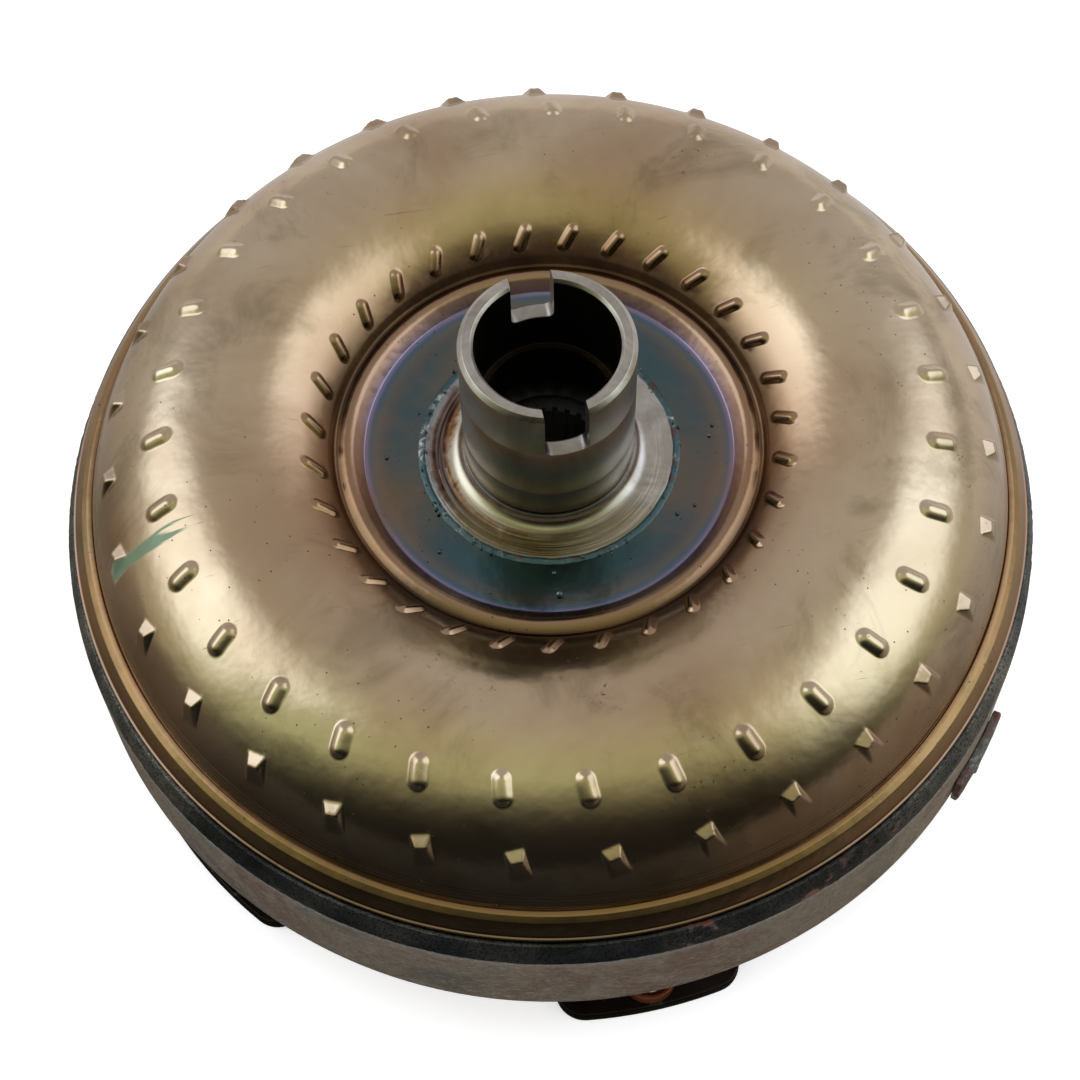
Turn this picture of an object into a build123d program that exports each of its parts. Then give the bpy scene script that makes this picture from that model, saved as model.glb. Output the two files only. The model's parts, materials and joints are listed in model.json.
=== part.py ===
from build123d import *
import math
import os

# Torque converter with a lock-up clutch, standing on its drive lugs with the pump hub up.
# The origin is on the spin axis in the plane of the lugs' bolting faces. +Z is the spin axis.
# The hub's two drive slots lie on the Y axis, and so does one pair of lugs.

# ---- driving dimensions (mm) ----
BLADES = 31
TORUS_R = 84.9            # radius of the circle on which the round flow section is centred
IMPELLER_Z = 67.15        # height of that centre in the impeller
TURBINE_Z = 63.8          # and in the turbine, which faces it
SHELL_OUT = 38.4          # section radius of the impeller shell, outside and inside
SHELL_IN = 36.0
TURBINE_OUT = 37.2        # section radius of the turbine shell, outside and inside
TURBINE_IN = 35.4
CORE_OUT = 14.5           # section radius of both core rings, outside and inside
CORE_IN = 13.3
SHELL_TO_STATOR = 148     # section angle where the blades end, beside the stator

HUB_R = 22.25             # pump hub, outside and bore
HUB_BORE_R = 18.2
HUB_TOP = 140.4
HUB_CHAMFER = 1.15        # around the mouth, outside and inside
HUB_BORE_CHAMFER = 0.8
HUB_UNDERCUT_Z = 93.7     # top of the undercut at the foot of the tube
UNDERCUT_H, UNDERCUT_DEPTH = 2.2, 0.9
SLOT_W = 11.0
SLOT_DEPTH = 16.4
FLANGE_TOP = 88.8         # weld seam between the hub's foot and the shell
FLANGE_UNDER = 86.2
FOOT_R = 33.2
FOOT_FILLET = (27.5, 89.3)   # where the foot's concave fillet runs out, as radius and height
BUSH_R, BUSH_SEAT_R = 16.6, 18.0
BUSH_LOW, BUSH_HIGH = 97.0, 112.0

COVER_R = 131.3
COVER_T = 4.0
COVER_TOP = 60.0
COVER_FACE = 10.0         # outside of the cover's flat clutch face
COVER_CENTRE = 16.0       # outside of the cover's raised middle
COVER_CORNER = 22.0
RIM_R = 128.2
SPIGOT_R = 127.2

LUGS = 6
LUG_PCD_R = 120.0
LUG_R = 128.4
LUG_W = 51.0
LUG_T = 4.5
LUG_HOLE_R = 5.25
NUT_THREAD_R = 5.0
PILOT_R = 16.0
PILOT_TIP = 1.5

STATOR_LOW = 49.2
STATOR_HIGH = 81.75
RACE_T = 1.1
NEEDLE_R = 1.0
ROLLERS = 12
ROLLER_R = 3.0
ROLLER_PCD_R = 29.95

SPRINGS = 8
SPRING_PCD_R = 113.0
SPRING_Z = 27.5
SPRING_R = 6.3
SPRING_ARC = 34.0         # degrees that each arc spring fills
PISTON_FACE = 16.0        # underside of the piston, where the lining is bonded
PISTON_T = 2.4

GAP = 0.05                # running gap between neighbouring pieces of one body

os.makedirs("parts", exist_ok=True)


def save(builder, name):
    builder.part.label = name
    export_step(builder.part, f"parts/{name}.step")


def polar(radius, degrees):
    angle = math.radians(degrees)
    return (radius * math.cos(angle), radius * math.sin(angle))


def section(*points):
    """A closed outline of straight sides in the XZ plane, as (radius, height) points."""
    with BuildSketch(Plane.XZ) as outline:
        with BuildLine():
            Polyline(*points, close=True)
        make_face()
    return outline.sketch


def box_section(r_in, r_out, z_low, z_high):
    return section((r_in, z_low), (r_out, z_low), (r_out, z_high), (r_in, z_high))


def sector(centre, r_in, r_out, start, sweep):
    """A band between two arcs about a centre in the XZ plane."""
    with BuildSketch(Plane.XZ) as outline:
        with BuildLine():
            far = CenterArc(centre, r_out, start, sweep)
            near = CenterArc(centre, r_in, start, sweep)
            Line(far @ 0, near @ 0)
            Line(far @ 1, near @ 1)
        make_face()
    return outline.sketch


def torus_point(centre_z, radius, degrees):
    angle = math.radians(degrees)
    return (TORUS_R + radius * math.cos(angle), centre_z + radius * math.sin(angle))


# ---- blades: one curved plan line, shared by the impeller and, mirrored, by the turbine ----
BLADE_T = 1.0
BLADE_IN_R = 61.3         # plan radius of the inner tab
BLADE_IN_DEG = 2.76       # where the first blade's inner tab stands
BLADE_LEAN_IN = -0.635    # tangent of the blade's lean at the inner tab
BLADE_LEAN_RATE = 0.02084  # how much that tangent grows per mm outward


def blade_deg(radius):
    """Plan angle of the first blade at a radius, from a lean that grows evenly outward."""
    base = BLADE_LEAN_IN - BLADE_LEAN_RATE * BLADE_IN_R
    turn = base * math.log(radius / BLADE_IN_R) + BLADE_LEAN_RATE * (radius - BLADE_IN_R)
    return BLADE_IN_DEG + math.degrees(turn)


def blade_strip():
    """Plan outline of one blade, a strip of even thickness along the blade line."""
    radii = [48, 56, 66, 78, 92, 107, 124]
    half = math.degrees(BLADE_T / 2)
    with BuildSketch() as strip:
        with BuildLine():
            low = Spline(*[polar(r, blade_deg(r) - half / r) for r in radii])
            high = Spline(*[polar(r, blade_deg(r) + half / r) for r in radii])
            Line(low @ 0, high @ 0)
            Line(low @ 1, high @ 1)
        make_face()
    return strip.sketch


# ======================= housing: cover, lugs, impeller =======================

corner = (COVER_R - COVER_CORNER, COVER_FACE + COVER_CORNER)
STEP_R0, STEP_R1 = 56.0, 62.0    # the cone between the cover's middle and its clutch face
with BuildPart() as front_cover:
    with BuildSketch(Plane.XZ):
        with BuildLine():
            Polyline(
                (0, COVER_CENTRE), (STEP_R0, COVER_CENTRE), (STEP_R1, COVER_FACE),
                (corner[0], COVER_FACE),
            )
            CenterArc(corner, COVER_CORNER, -90, 90)
            Polyline(
                (COVER_R, corner[1]), (COVER_R, COVER_TOP),
                (COVER_R - COVER_T, COVER_TOP), (COVER_R - COVER_T, corner[1]),
            )
            CenterArc(corner, COVER_CORNER - COVER_T, 0, -90)
            Polyline(
                (corner[0], COVER_FACE + COVER_T), (STEP_R1 + 1.5, COVER_FACE + COVER_T),
                (STEP_R0 + 1.5, COVER_CENTRE + COVER_T), (0, COVER_CENTRE + COVER_T),
                (0, COVER_CENTRE),
            )
        make_face()
    revolve(axis=Axis.Z)
save(front_cover, "front_cover")

PILOT_FLANGE_R = 21.0
with BuildPart() as pilot_boss:
    with BuildSketch(Plane.XY.offset(PILOT_TIP)):
        Circle(PILOT_R)
    extrude(amount=COVER_CENTRE - PILOT_TIP)
    chamfer(pilot_boss.faces().sort_by(Axis.Z)[0].edges(), 1.5)
    with BuildSketch(Plane.XY.offset(COVER_CENTRE - 2)):
        Circle(PILOT_FLANGE_R)
    extrude(amount=2)
save(pilot_boss, "pilot_boss")

with BuildPart() as pilot_weld:
    revolve(
        section(
            (PILOT_FLANGE_R, COVER_CENTRE - 2), (PILOT_FLANGE_R + 2.5, COVER_CENTRE),
            (PILOT_FLANGE_R, COVER_CENTRE),
        ),
        axis=Axis.Z,
    )
save(pilot_weld, "pilot_weld")

PAD_IN_R, PAD_OUT_R, PAD_W = 88.0, 108.5, 40.0
with BuildPart() as lug:
    with BuildSketch() as plate:
        Circle(LUG_R)
        with Locations(((PAD_IN_R + LUG_R) / 2 + 2, 0)):
            Rectangle(LUG_R - PAD_IN_R + 4, LUG_W, mode=Mode.INTERSECT)
        fillet(plate.vertices(), 8)
        with Locations((LUG_PCD_R, 0)):
            Circle(LUG_HOLE_R, mode=Mode.SUBTRACT)
    extrude(amount=LUG_T)
    with BuildSketch(Plane.XY.offset(LUG_T)):
        with Locations(((PAD_IN_R + PAD_OUT_R) / 2, 0)):
            RectangleRounded(PAD_OUT_R - PAD_IN_R, PAD_W, 4)
    extrude(amount=COVER_FACE - LUG_T)
with BuildPart() as drive_lugs:
    with PolarLocations(0, LUGS, start_angle=-90):
        add(lug.part)
save(drive_lugs, "drive_lugs")

NUT_R, NUT_H = 7.5, 3.5
with BuildPart() as lug_nuts:
    with BuildSketch(Plane.XY.offset(LUG_T)):
        with PolarLocations(LUG_PCD_R, LUGS, start_angle=-90):
            Circle(NUT_R)
            Circle(NUT_THREAD_R, mode=Mode.SUBTRACT)
    extrude(amount=NUT_H)
save(lug_nuts, "lug_nuts")

WELD_LEG = 3.0
with BuildPart() as lug_bead:
    for side in (1, -1):
        edge = side * PAD_W / 2
        with BuildSketch(Plane.YZ.offset(PAD_IN_R + 4)):
            with BuildLine():
                Polyline(
                    (edge, COVER_FACE), (edge + side * WELD_LEG, COVER_FACE),
                    (edge, COVER_FACE - WELD_LEG), close=True,
                )
            make_face()
        extrude(amount=PAD_OUT_R - PAD_IN_R - 8)
with BuildPart() as lug_welds:
    with PolarLocations(0, LUGS, start_angle=-90):
        add(lug_bead.part)
save(lug_welds, "lug_welds")

WEIGHT_DEG, WEIGHT_ARC, WEIGHT_LOW, WEIGHT_HIGH, WEIGHT_T = -42.6, 10.5, 31.0, 42.0, 2.5
with BuildPart() as balance_weight:
    revolve(
        box_section(COVER_R, COVER_R + WEIGHT_T, WEIGHT_LOW, WEIGHT_HIGH).rotate(
            Axis.Z, WEIGHT_DEG - WEIGHT_ARC / 2
        ),
        axis=Axis.Z, revolution_arc=WEIGHT_ARC,
    )
save(balance_weight, "balance_weight")

RIM_WELD_TOP = 67.4
with BuildPart() as rim_weld:
    with BuildSketch(Plane.XZ):
        with BuildLine():
            Line((RIM_R, RIM_WELD_TOP), (RIM_R, COVER_TOP))
            Line((RIM_R, COVER_TOP), (COVER_R, COVER_TOP))
            ThreePointArc((COVER_R, COVER_TOP), (130.6, 64.2), (RIM_R, RIM_WELD_TOP))
        make_face()
    revolve(axis=Axis.Z)
save(rim_weld, "rim_weld")

# The shell runs from the hub's foot over a stiffening bead and the dome to the machined rim.
BEAD_VALLEY, BEAD_CREST, BEAD_OUT_R = (48.5, 89.7), (52.4, 93.0), 55.6
GROOVE_TOP_R = 122.0      # where the dome ends at the machined groove
INNER_END_R = 56.0
SHOULDER_Z = 75.3         # flat shoulder outside the groove, and the step below it
RIM_STEP_Z = 69.0
SPIGOT_IN_R, SPIGOT_LOW = 123.2, 54.0
groove_deg = math.degrees(math.acos((GROOVE_TOP_R - TORUS_R) / SHELL_OUT))
bead_deg = math.degrees(math.acos((BEAD_OUT_R - TORUS_R) / SHELL_OUT))
inner_deg = math.degrees(math.acos((INNER_END_R - TORUS_R) / SHELL_IN))
centre = (TORUS_R, IMPELLER_Z)
with BuildPart() as impeller_shell:
    with BuildSketch(Plane.XZ):
        with BuildLine():
            dome = CenterArc(centre, SHELL_OUT, groove_deg, bead_deg - groove_deg)
            ThreePointArc(dome @ 1, BEAD_CREST, BEAD_VALLEY)
            Polyline(
                BEAD_VALLEY, (FOOT_R + GAP, FLANGE_TOP), (FOOT_R + GAP, FLANGE_UNDER),
                (50, 87.3), torus_point(IMPELLER_Z, SHELL_IN, inner_deg),
            )
            CenterArc(centre, SHELL_IN, inner_deg, -inner_deg)
            Polyline(
                (TORUS_R + SHELL_IN, IMPELLER_Z), (SPIGOT_IN_R, IMPELLER_Z - 1),
                (SPIGOT_IN_R, SPIGOT_LOW), (SPIGOT_R, SPIGOT_LOW), (SPIGOT_R, COVER_TOP + GAP),
                (RIM_R, COVER_TOP + GAP), (RIM_R, RIM_STEP_Z),
            )
            shoulder = (RIM_R - 3.3, SHOULDER_Z)
            ThreePointArc((RIM_R, RIM_STEP_Z), (RIM_R - 0.9, SHOULDER_Z - 2.7), shoulder)
            Polyline(
                shoulder, (GROOVE_TOP_R + 0.9, SHOULDER_Z), (GROOVE_TOP_R + 0.5, SHOULDER_Z - 0.6),
                (GROOVE_TOP_R - 0.5, SHOULDER_Z - 0.4), (GROOVE_TOP_R - 0.7, SHOULDER_Z + 0.9),
                dome @ 0,
            )
        make_face()
    revolve(axis=Axis.Z)


def on_dome(radius, degrees, turn, sink):
    """A plane tangent to the dome at a plan radius and angle, sunk a little into the shell.

    Its local x runs outward down the dome, then turned about the surface normal.
    """
    tilt = math.acos((radius - TORUS_R) / SHELL_OUT)
    level = IMPELLER_Z + (SHELL_OUT - sink) * math.sin(tilt)
    reach = TORUS_R + (SHELL_OUT - sink) * math.cos(tilt)
    down = Vector(math.sin(tilt), 0, -math.cos(tilt)).rotate(Axis.Z, degrees)
    normal = Vector(math.cos(tilt), 0, math.sin(tilt)).rotate(Axis.Z, degrees)
    spot = Vector(reach, 0, level).rotate(Axis.Z, degrees)
    return Plane(origin=spot, x_dir=down, z_dir=normal).rotated((0, 0, turn))


# Each blade has three tabs, and each tab has a bump in the dome over it.
BUMP_SINK = 1.2
INNER_BUMP = (61.3, 8.2, 3.6, 0.9, -29.5)   # plan radius, length, width, height, turn
MIDDLE_BUMP = (101.5, 9.3, 4.7, 1.2, 10.0)
OUTER_BUMP_R, OUTER_BUMP_L, OUTER_BUMP_W, OUTER_BUMP_H = 116.1, 9.0, 6.0, 1.5
with BuildPart() as bumps:
    for radius, length, width, height, turn in (INNER_BUMP, MIDDLE_BUMP):
        with BuildSketch(on_dome(radius, blade_deg(radius), turn, BUMP_SINK)):
            SlotOverall(length, width)
        extrude(amount=BUMP_SINK + height, taper=12)
    with BuildSketch(on_dome(OUTER_BUMP_R, blade_deg(OUTER_BUMP_R), 0, BUMP_SINK)):
        Rectangle(OUTER_BUMP_L, OUTER_BUMP_W)
    extrude(amount=BUMP_SINK + OUTER_BUMP_H, taper=35)
with BuildPart() as dimpled_shell:
    add(impeller_shell.part)
    with PolarLocations(0, BLADES):
        add(bumps.part)
save(dimpled_shell, "impeller_shell")

with BuildPart() as blade:
    with BuildSketch(Plane.XY.offset(IMPELLER_Z - 5)):
        add(blade_strip())
    extrude(amount=50)
    revolve(
        sector(centre, CORE_OUT + GAP, SHELL_IN - GAP, 3, SHELL_TO_STATOR - 3),
        axis=Axis.Z, mode=Mode.INTERSECT,
    )
with BuildPart() as impeller_blades:
    with PolarLocations(0, BLADES):
        add(blade.part)
save(impeller_blades, "impeller_blades")

with BuildPart() as impeller_core_ring:
    revolve(sector(centre, CORE_IN, CORE_OUT, 4, SHELL_TO_STATOR - 6), axis=Axis.Z)
save(impeller_core_ring, "impeller_core_ring")

with BuildPart() as impeller_hub:
    with BuildSketch(Plane.XZ):
        with BuildLine():
            Polyline(
                (BUSH_SEAT_R, FLANGE_UNDER), (BUSH_SEAT_R, BUSH_HIGH), (HUB_BORE_R, BUSH_HIGH),
                (HUB_BORE_R, HUB_TOP - HUB_BORE_CHAMFER), (HUB_BORE_R + HUB_BORE_CHAMFER, HUB_TOP),
                (HUB_R - HUB_CHAMFER, HUB_TOP), (HUB_R, HUB_TOP - HUB_CHAMFER),
                (HUB_R, HUB_UNDERCUT_Z),
            )
            undercut_low = (HUB_R, HUB_UNDERCUT_Z - UNDERCUT_H)
            undercut_deep = (HUB_R - UNDERCUT_DEPTH, HUB_UNDERCUT_Z - UNDERCUT_H / 2)
            ThreePointArc((HUB_R, HUB_UNDERCUT_Z), undercut_deep, undercut_low)
            ThreePointArc(undercut_low, (HUB_R + 1.65, FOOT_FILLET[1] + 0.9), FOOT_FILLET)
            Polyline(
                FOOT_FILLET, (FOOT_R, FLANGE_TOP), (FOOT_R, FLANGE_UNDER),
                (BUSH_SEAT_R, FLANGE_UNDER),
            )
        make_face()
    revolve(axis=Axis.Z)
    with BuildSketch(Plane.XZ):
        with Locations((0, HUB_TOP)):
            Rectangle(SLOT_W, 2 * SLOT_DEPTH)
    extrude(amount=2 * HUB_R, both=True, mode=Mode.SUBTRACT)
    slot_floor = impeller_hub.edges().filter_by(Axis.Y).group_by(Axis.Z)[0]
    fillet(slot_floor, 2)
save(impeller_hub, "impeller_hub")

WELD_IN_R, WELD_OUT_R, WELD_LOW, WELD_CROWN = 32.3, 35.2, FLANGE_TOP + 0.25, FLANGE_TOP + 1.3
with BuildPart() as hub_weld:
    with BuildSketch(Plane.XZ):
        with BuildLine():
            Line((WELD_IN_R, WELD_LOW), (WELD_OUT_R, WELD_LOW))
            middle = ((WELD_IN_R + WELD_OUT_R) / 2, WELD_CROWN)
            ThreePointArc((WELD_IN_R, WELD_LOW), middle, (WELD_OUT_R, WELD_LOW))
        make_face()
    revolve(axis=Axis.Z)
save(hub_weld, "hub_weld")

with BuildPart() as hub_bushing:
    revolve(box_section(BUSH_R, BUSH_SEAT_R, BUSH_LOW, BUSH_HIGH), axis=Axis.Z)
save(hub_bushing, "hub_bushing")

# ======================= turbine =======================

turbine_centre = (TORUS_R, TURBINE_Z)
TURBINE_DISC_TOP = 44.8
DISC_T = 1.8
DISC_IN_R = 26.0
turbine_deg = math.degrees(math.acos((57.0 - TORUS_R) / TURBINE_OUT))
turbine_in_deg = math.degrees(math.acos((57.0 - TORUS_R) / TURBINE_IN))
with BuildPart() as turbine_shell:
    with BuildSketch(Plane.XZ):
        with BuildLine():
            outside = CenterArc(turbine_centre, TURBINE_OUT, -4, -(turbine_deg - 4))
            inside = CenterArc(turbine_centre, TURBINE_IN, -4, -(turbine_in_deg - 4))
            Line(outside @ 0, inside @ 0)
            Polyline(
                outside @ 1, (50, TURBINE_DISC_TOP - DISC_T), (DISC_IN_R, TURBINE_DISC_TOP - DISC_T),
                (DISC_IN_R, TURBINE_DISC_TOP), (50.8, TURBINE_DISC_TOP), inside @ 1,
            )
        make_face()
    revolve(axis=Axis.Z)
    RIVETS, RIVET_PCD_R, RIVET_R = 12, 42.0, 2.5
    with BuildSketch(Plane.XY.offset(TURBINE_DISC_TOP - DISC_T)):
        with PolarLocations(RIVET_PCD_R, RIVETS):
            Circle(RIVET_R)
    extrude(amount=DISC_T, mode=Mode.SUBTRACT)
save(turbine_shell, "turbine_shell")

with BuildPart() as turbine_blade:
    with BuildSketch(Plane.XY.offset(TURBINE_Z - 45)):
        mirror(blade_strip(), about=Plane.XZ, mode=Mode.ADD)
    extrude(amount=50)
    revolve(
        sector(turbine_centre, CORE_OUT + GAP, TURBINE_IN - GAP, -4, 4 - SHELL_TO_STATOR),
        axis=Axis.Z, mode=Mode.INTERSECT,
    )
with BuildPart() as turbine_blades:
    with PolarLocations(0, BLADES - 2):
        add(turbine_blade.part)
save(turbine_blades, "turbine_blades")

with BuildPart() as turbine_core_ring:
    revolve(sector(turbine_centre, CORE_IN, CORE_OUT, -4, 6 - SHELL_TO_STATOR), axis=Axis.Z)
save(turbine_core_ring, "turbine_core_ring")

HUB_LOW = 22.2
TURBINE_HUB_R = 19.5
TURBINE_FLANGE_R = 47.0
FLANGE_Z = (38.4, TURBINE_DISC_TOP - DISC_T)
TURBINE_SPLINE_R = 12.2
SEAL_Z = (26.5, 28.5)


def spline_grooves(minor_r, depth, teeth, low, high):
    """Straight-sided grooves cut outward from a bore, one between each two teeth."""
    with BuildPart() as grooves:
        with BuildSketch(Plane.XY.offset(low)):
            with PolarLocations(minor_r + depth / 2 - 0.5, teeth):
                Rectangle(depth + 1, math.pi * minor_r / teeth)
        extrude(amount=high - low)
    return grooves.part


with BuildPart() as turbine_hub:
    revolve(
        section(
            (TURBINE_SPLINE_R, HUB_LOW), (TURBINE_HUB_R, HUB_LOW),
            (TURBINE_HUB_R, SEAL_Z[0]), (TURBINE_HUB_R - 1.6, SEAL_Z[0]),
            (TURBINE_HUB_R - 1.6, SEAL_Z[1]), (TURBINE_HUB_R, SEAL_Z[1]),
            (TURBINE_HUB_R, FLANGE_Z[0] - 4), (TURBINE_HUB_R + 4, FLANGE_Z[0]),
            (TURBINE_FLANGE_R, FLANGE_Z[0]), (TURBINE_FLANGE_R, FLANGE_Z[1]),
            (DISC_IN_R - GAP, FLANGE_Z[1]), (DISC_IN_R - GAP, 47.0), (TURBINE_SPLINE_R, 47.0),
        ),
        axis=Axis.Z,
    )
    add(spline_grooves(TURBINE_SPLINE_R, 1.2, 24, HUB_LOW, 47.0), mode=Mode.SUBTRACT)
    with BuildSketch(Plane.XY.offset(FLANGE_Z[0])):
        with PolarLocations(RIVET_PCD_R, RIVETS):
            Circle(RIVET_R)
    extrude(amount=FLANGE_Z[1] - FLANGE_Z[0], mode=Mode.SUBTRACT)
save(turbine_hub, "turbine_hub")

with BuildPart() as turbine_rivets:
    for low, high, radius in (
        (FLANGE_Z[0] - 1.6, FLANGE_Z[0], RIVET_R + 1.7),
        (FLANGE_Z[0], TURBINE_DISC_TOP, RIVET_R - 0.02),
        (TURBINE_DISC_TOP, TURBINE_DISC_TOP + 1.4, RIVET_R + 1.5),
    ):
        with BuildSketch(Plane.XY.offset(low)):
            with PolarLocations(RIVET_PCD_R, RIVETS):
                Circle(radius)
        extrude(amount=high - low)
save(turbine_rivets, "turbine_rivets")

with BuildPart() as thrust_washer:
    revolve(box_section(14.0, TURBINE_HUB_R - 0.3, 20.1, HUB_LOW - 0.1), axis=Axis.Z)
save(thrust_washer, "thrust_washer")

with BuildPart() as piston_seal:
    revolve(
        box_section(TURBINE_HUB_R - 1.5, TURBINE_HUB_R, SEAL_Z[0] + 0.1, SEAL_Z[1] - 0.1),
        axis=Axis.Z,
    )
save(piston_seal, "piston_seal")

# The driven plate is welded under the turbine, and its claws stand between the springs.
CLAW_W, CLAW_IN_R, CLAW_OUT_R, CLAW_LOW, CLAW_TOP = 5.9, 109.5, 116.0, 23.5, 35.5
with BuildPart() as driven_plate:
    revolve(sector(turbine_centre, TURBINE_OUT + GAP, TURBINE_OUT + 2.0, -62, 18), axis=Axis.Z)
    with BuildSketch(Plane.XY.offset(CLAW_LOW)):
        with PolarLocations((CLAW_IN_R + CLAW_OUT_R) / 2, SPRINGS):
            Rectangle(CLAW_OUT_R - CLAW_IN_R, CLAW_W)
    extrude(amount=CLAW_TOP - CLAW_LOW)
save(driven_plate, "driven_plate")

# ======================= lock-up clutch and damper =======================

SLEEVE_R = TURBINE_HUB_R + 0.06
PISTON_OUT_R = 105.4
PISTON_MIDDLE = 23.2          # underside of the piston's raised middle
CONE_IN_R, CONE_OUT_R = 55.0, 65.0
SLEEVE_T, SLEEVE_TOP = 3.0, 33.0
RIM_TOP = 22.6
FINGERS, FINGER_W = 12, 8.0
with BuildPart() as lockup_piston:
    revolve(
        section(
            (SLEEVE_R, PISTON_MIDDLE), (CONE_IN_R, PISTON_MIDDLE), (CONE_OUT_R, PISTON_FACE),
            (PISTON_OUT_R, PISTON_FACE), (PISTON_OUT_R, RIM_TOP), (PISTON_OUT_R - PISTON_T, RIM_TOP),
            (PISTON_OUT_R - PISTON_T, PISTON_FACE + PISTON_T), (CONE_OUT_R + 1, PISTON_FACE + PISTON_T),
            (CONE_IN_R + 1, PISTON_MIDDLE + PISTON_T), (SLEEVE_R + SLEEVE_T, PISTON_MIDDLE + PISTON_T),
            (SLEEVE_R + SLEEVE_T, SLEEVE_TOP), (SLEEVE_R, SLEEVE_TOP),
        ),
        axis=Axis.Z,
    )
    with BuildSketch(Plane.XY.offset(PISTON_FACE + PISTON_T)):
        with PolarLocations(PISTON_OUT_R - PISTON_T / 2, FINGERS, start_angle=15):
            Rectangle(PISTON_T + 3, FINGER_W + 0.6)
    extrude(amount=RIM_TOP, mode=Mode.SUBTRACT)
save(lockup_piston, "lockup_piston")

LINING_R, LINING_T = (80.0, 102.0), 1.2
with BuildPart() as friction_lining:
    revolve(box_section(*LINING_R, PISTON_FACE - LINING_T, PISTON_FACE), axis=Axis.Z)
save(friction_lining, "friction_lining")

spring_centre = (SPRING_PCD_R, SPRING_Z)
CHANNEL_IN, CHANNEL_OUT = SPRING_R + 0.4, SPRING_R + 1.9
WEB_R, WEB_Z = (101.0, 106.6), (23.4, 24.6)
STOP_GAP = 0.3
with BuildPart() as spring_carrier:
    revolve(sector(spring_centre, CHANNEL_IN, CHANNEL_OUT, -150, 210), axis=Axis.Z)
    revolve(box_section(*WEB_R, *WEB_Z), axis=Axis.Z)
    with BuildSketch(Plane.XY.offset(PISTON_FACE + PISTON_T + 0.5)):
        with PolarLocations(PISTON_OUT_R - PISTON_T / 2, FINGERS, start_angle=15):
            Rectangle(PISTON_T, FINGER_W)
    extrude(amount=5.0)
    stop_deg = 360 / SPRINGS - SPRING_ARC - 2 * STOP_GAP
    for k in range(SPRINGS):
        revolve(
            box_section(CLAW_OUT_R + 0.7, SPRING_PCD_R + CHANNEL_IN + 0.2, 24.0, 30.0).rotate(
                Axis.Z, k * 360 / SPRINGS - stop_deg / 2
            ),
            axis=Axis.Z, revolution_arc=stop_deg,
        )
save(spring_carrier, "spring_carrier")

SPRING_BORE = 5.3         # a tube with the same steel as a coil of 2.6 mm wire
with BuildPart() as damper_springs:
    for k in range(SPRINGS):
        with BuildSketch(Plane.XZ) as coil:
            with Locations(spring_centre):
                Circle(SPRING_R)
                Circle(SPRING_BORE, mode=Mode.SUBTRACT)
        start = (k + 0.5) * 360 / SPRINGS - SPRING_ARC / 2
        revolve(coil.sketch.rotate(Axis.Z, start), axis=Axis.Z, revolution_arc=SPRING_ARC)
save(damper_springs, "damper_springs")

# ======================= stator and its one-way clutch =======================

STATOR_BORE_R = 38.0
LIP_R, LIP_T = 29.5, 1.8      # inward lip under the clutch
NECK_R = (42.0, 44.5)         # ends and middle of the hub between its two shoulders
SHROUD_IN = (45.5, 48.8)
SHROUD_OUT = (69.4, 71.4)
VANES = 15
VANE_Z = (IMPELLER_Z + TURBINE_Z) / 2
with BuildPart() as vanes:
    with BuildSketch(Plane.YZ.offset(SHROUD_IN[0])):
        with BuildLine():
            back = Spline((-6.5, VANE_Z - 7.5), (-2.2, VANE_Z + 3.5), (5.5, VANE_Z + 8.5))
            belly = Spline((-6.5, VANE_Z - 7.5), (0.2, VANE_Z - 1.0), (5.5, VANE_Z + 8.5))
        make_face()
    extrude(amount=SHROUD_OUT[0] - SHROUD_IN[0] + 1)
with BuildPart() as stator_wheel:
    revolve(
        section(
            (LIP_R, STATOR_LOW), (NECK_R[0], STATOR_LOW), (NECK_R[1], VANE_Z - 8),
            (SHROUD_IN[1], VANE_Z - 9), (SHROUD_IN[1], VANE_Z + 9), (NECK_R[1], VANE_Z + 8),
            (NECK_R[0], STATOR_HIGH), (STATOR_BORE_R, STATOR_HIGH),
            (STATOR_BORE_R, STATOR_LOW + LIP_T), (LIP_R, STATOR_LOW + LIP_T),
        ),
        axis=Axis.Z,
    )
    with PolarLocations(0, VANES):
        add(vanes.part)
    revolve(box_section(SHROUD_OUT[0], SHROUD_OUT[1], VANE_Z - 7, VANE_Z + 7), axis=Axis.Z)
    revolve(
        box_section(STATOR_BORE_R - 1, STATOR_BORE_R + 1.0, 80.55, 81.45),
        axis=Axis.Z, mode=Mode.SUBTRACT,
    )
save(stator_wheel, "stator_wheel")

PLATE_R = (27.6, STATOR_BORE_R - 0.1)
with BuildPart() as clutch_side_plate:
    revolve(box_section(*PLATE_R, 51.05, 53.0), axis=Axis.Z)
save(clutch_side_plate, "clutch_side_plate")

with BuildPart() as clutch_end_cap:
    revolve(
        section(
            (PLATE_R[0], 79.5), (PLATE_R[1], 79.5), (PLATE_R[1], 80.5), (36.0, 80.5),
            (36.0, STATOR_HIGH - 0.05), (PLATE_R[0], STATOR_HIGH - 0.05),
        ),
        axis=Axis.Z,
    )
save(clutch_end_cap, "clutch_end_cap")

with BuildPart() as stator_snap_ring:
    revolve(box_section(36.3, STATOR_BORE_R + 0.9, 80.6, 81.4), axis=Axis.Z, revolution_arc=350)
save(stator_snap_ring, "stator_snap_ring")

OUTER_RACE_R = ROLLER_PCD_R + ROLLER_R + 0.1
INNER_RACE_R = ROLLER_PCD_R - ROLLER_R - 0.1
ROLLER_Z = (57.0, 75.0)
with BuildPart() as clutch_outer_race:
    revolve(box_section(OUTER_RACE_R, STATOR_BORE_R, 53.1, 79.4), axis=Axis.Z)
save(clutch_outer_race, "clutch_outer_race")

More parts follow.
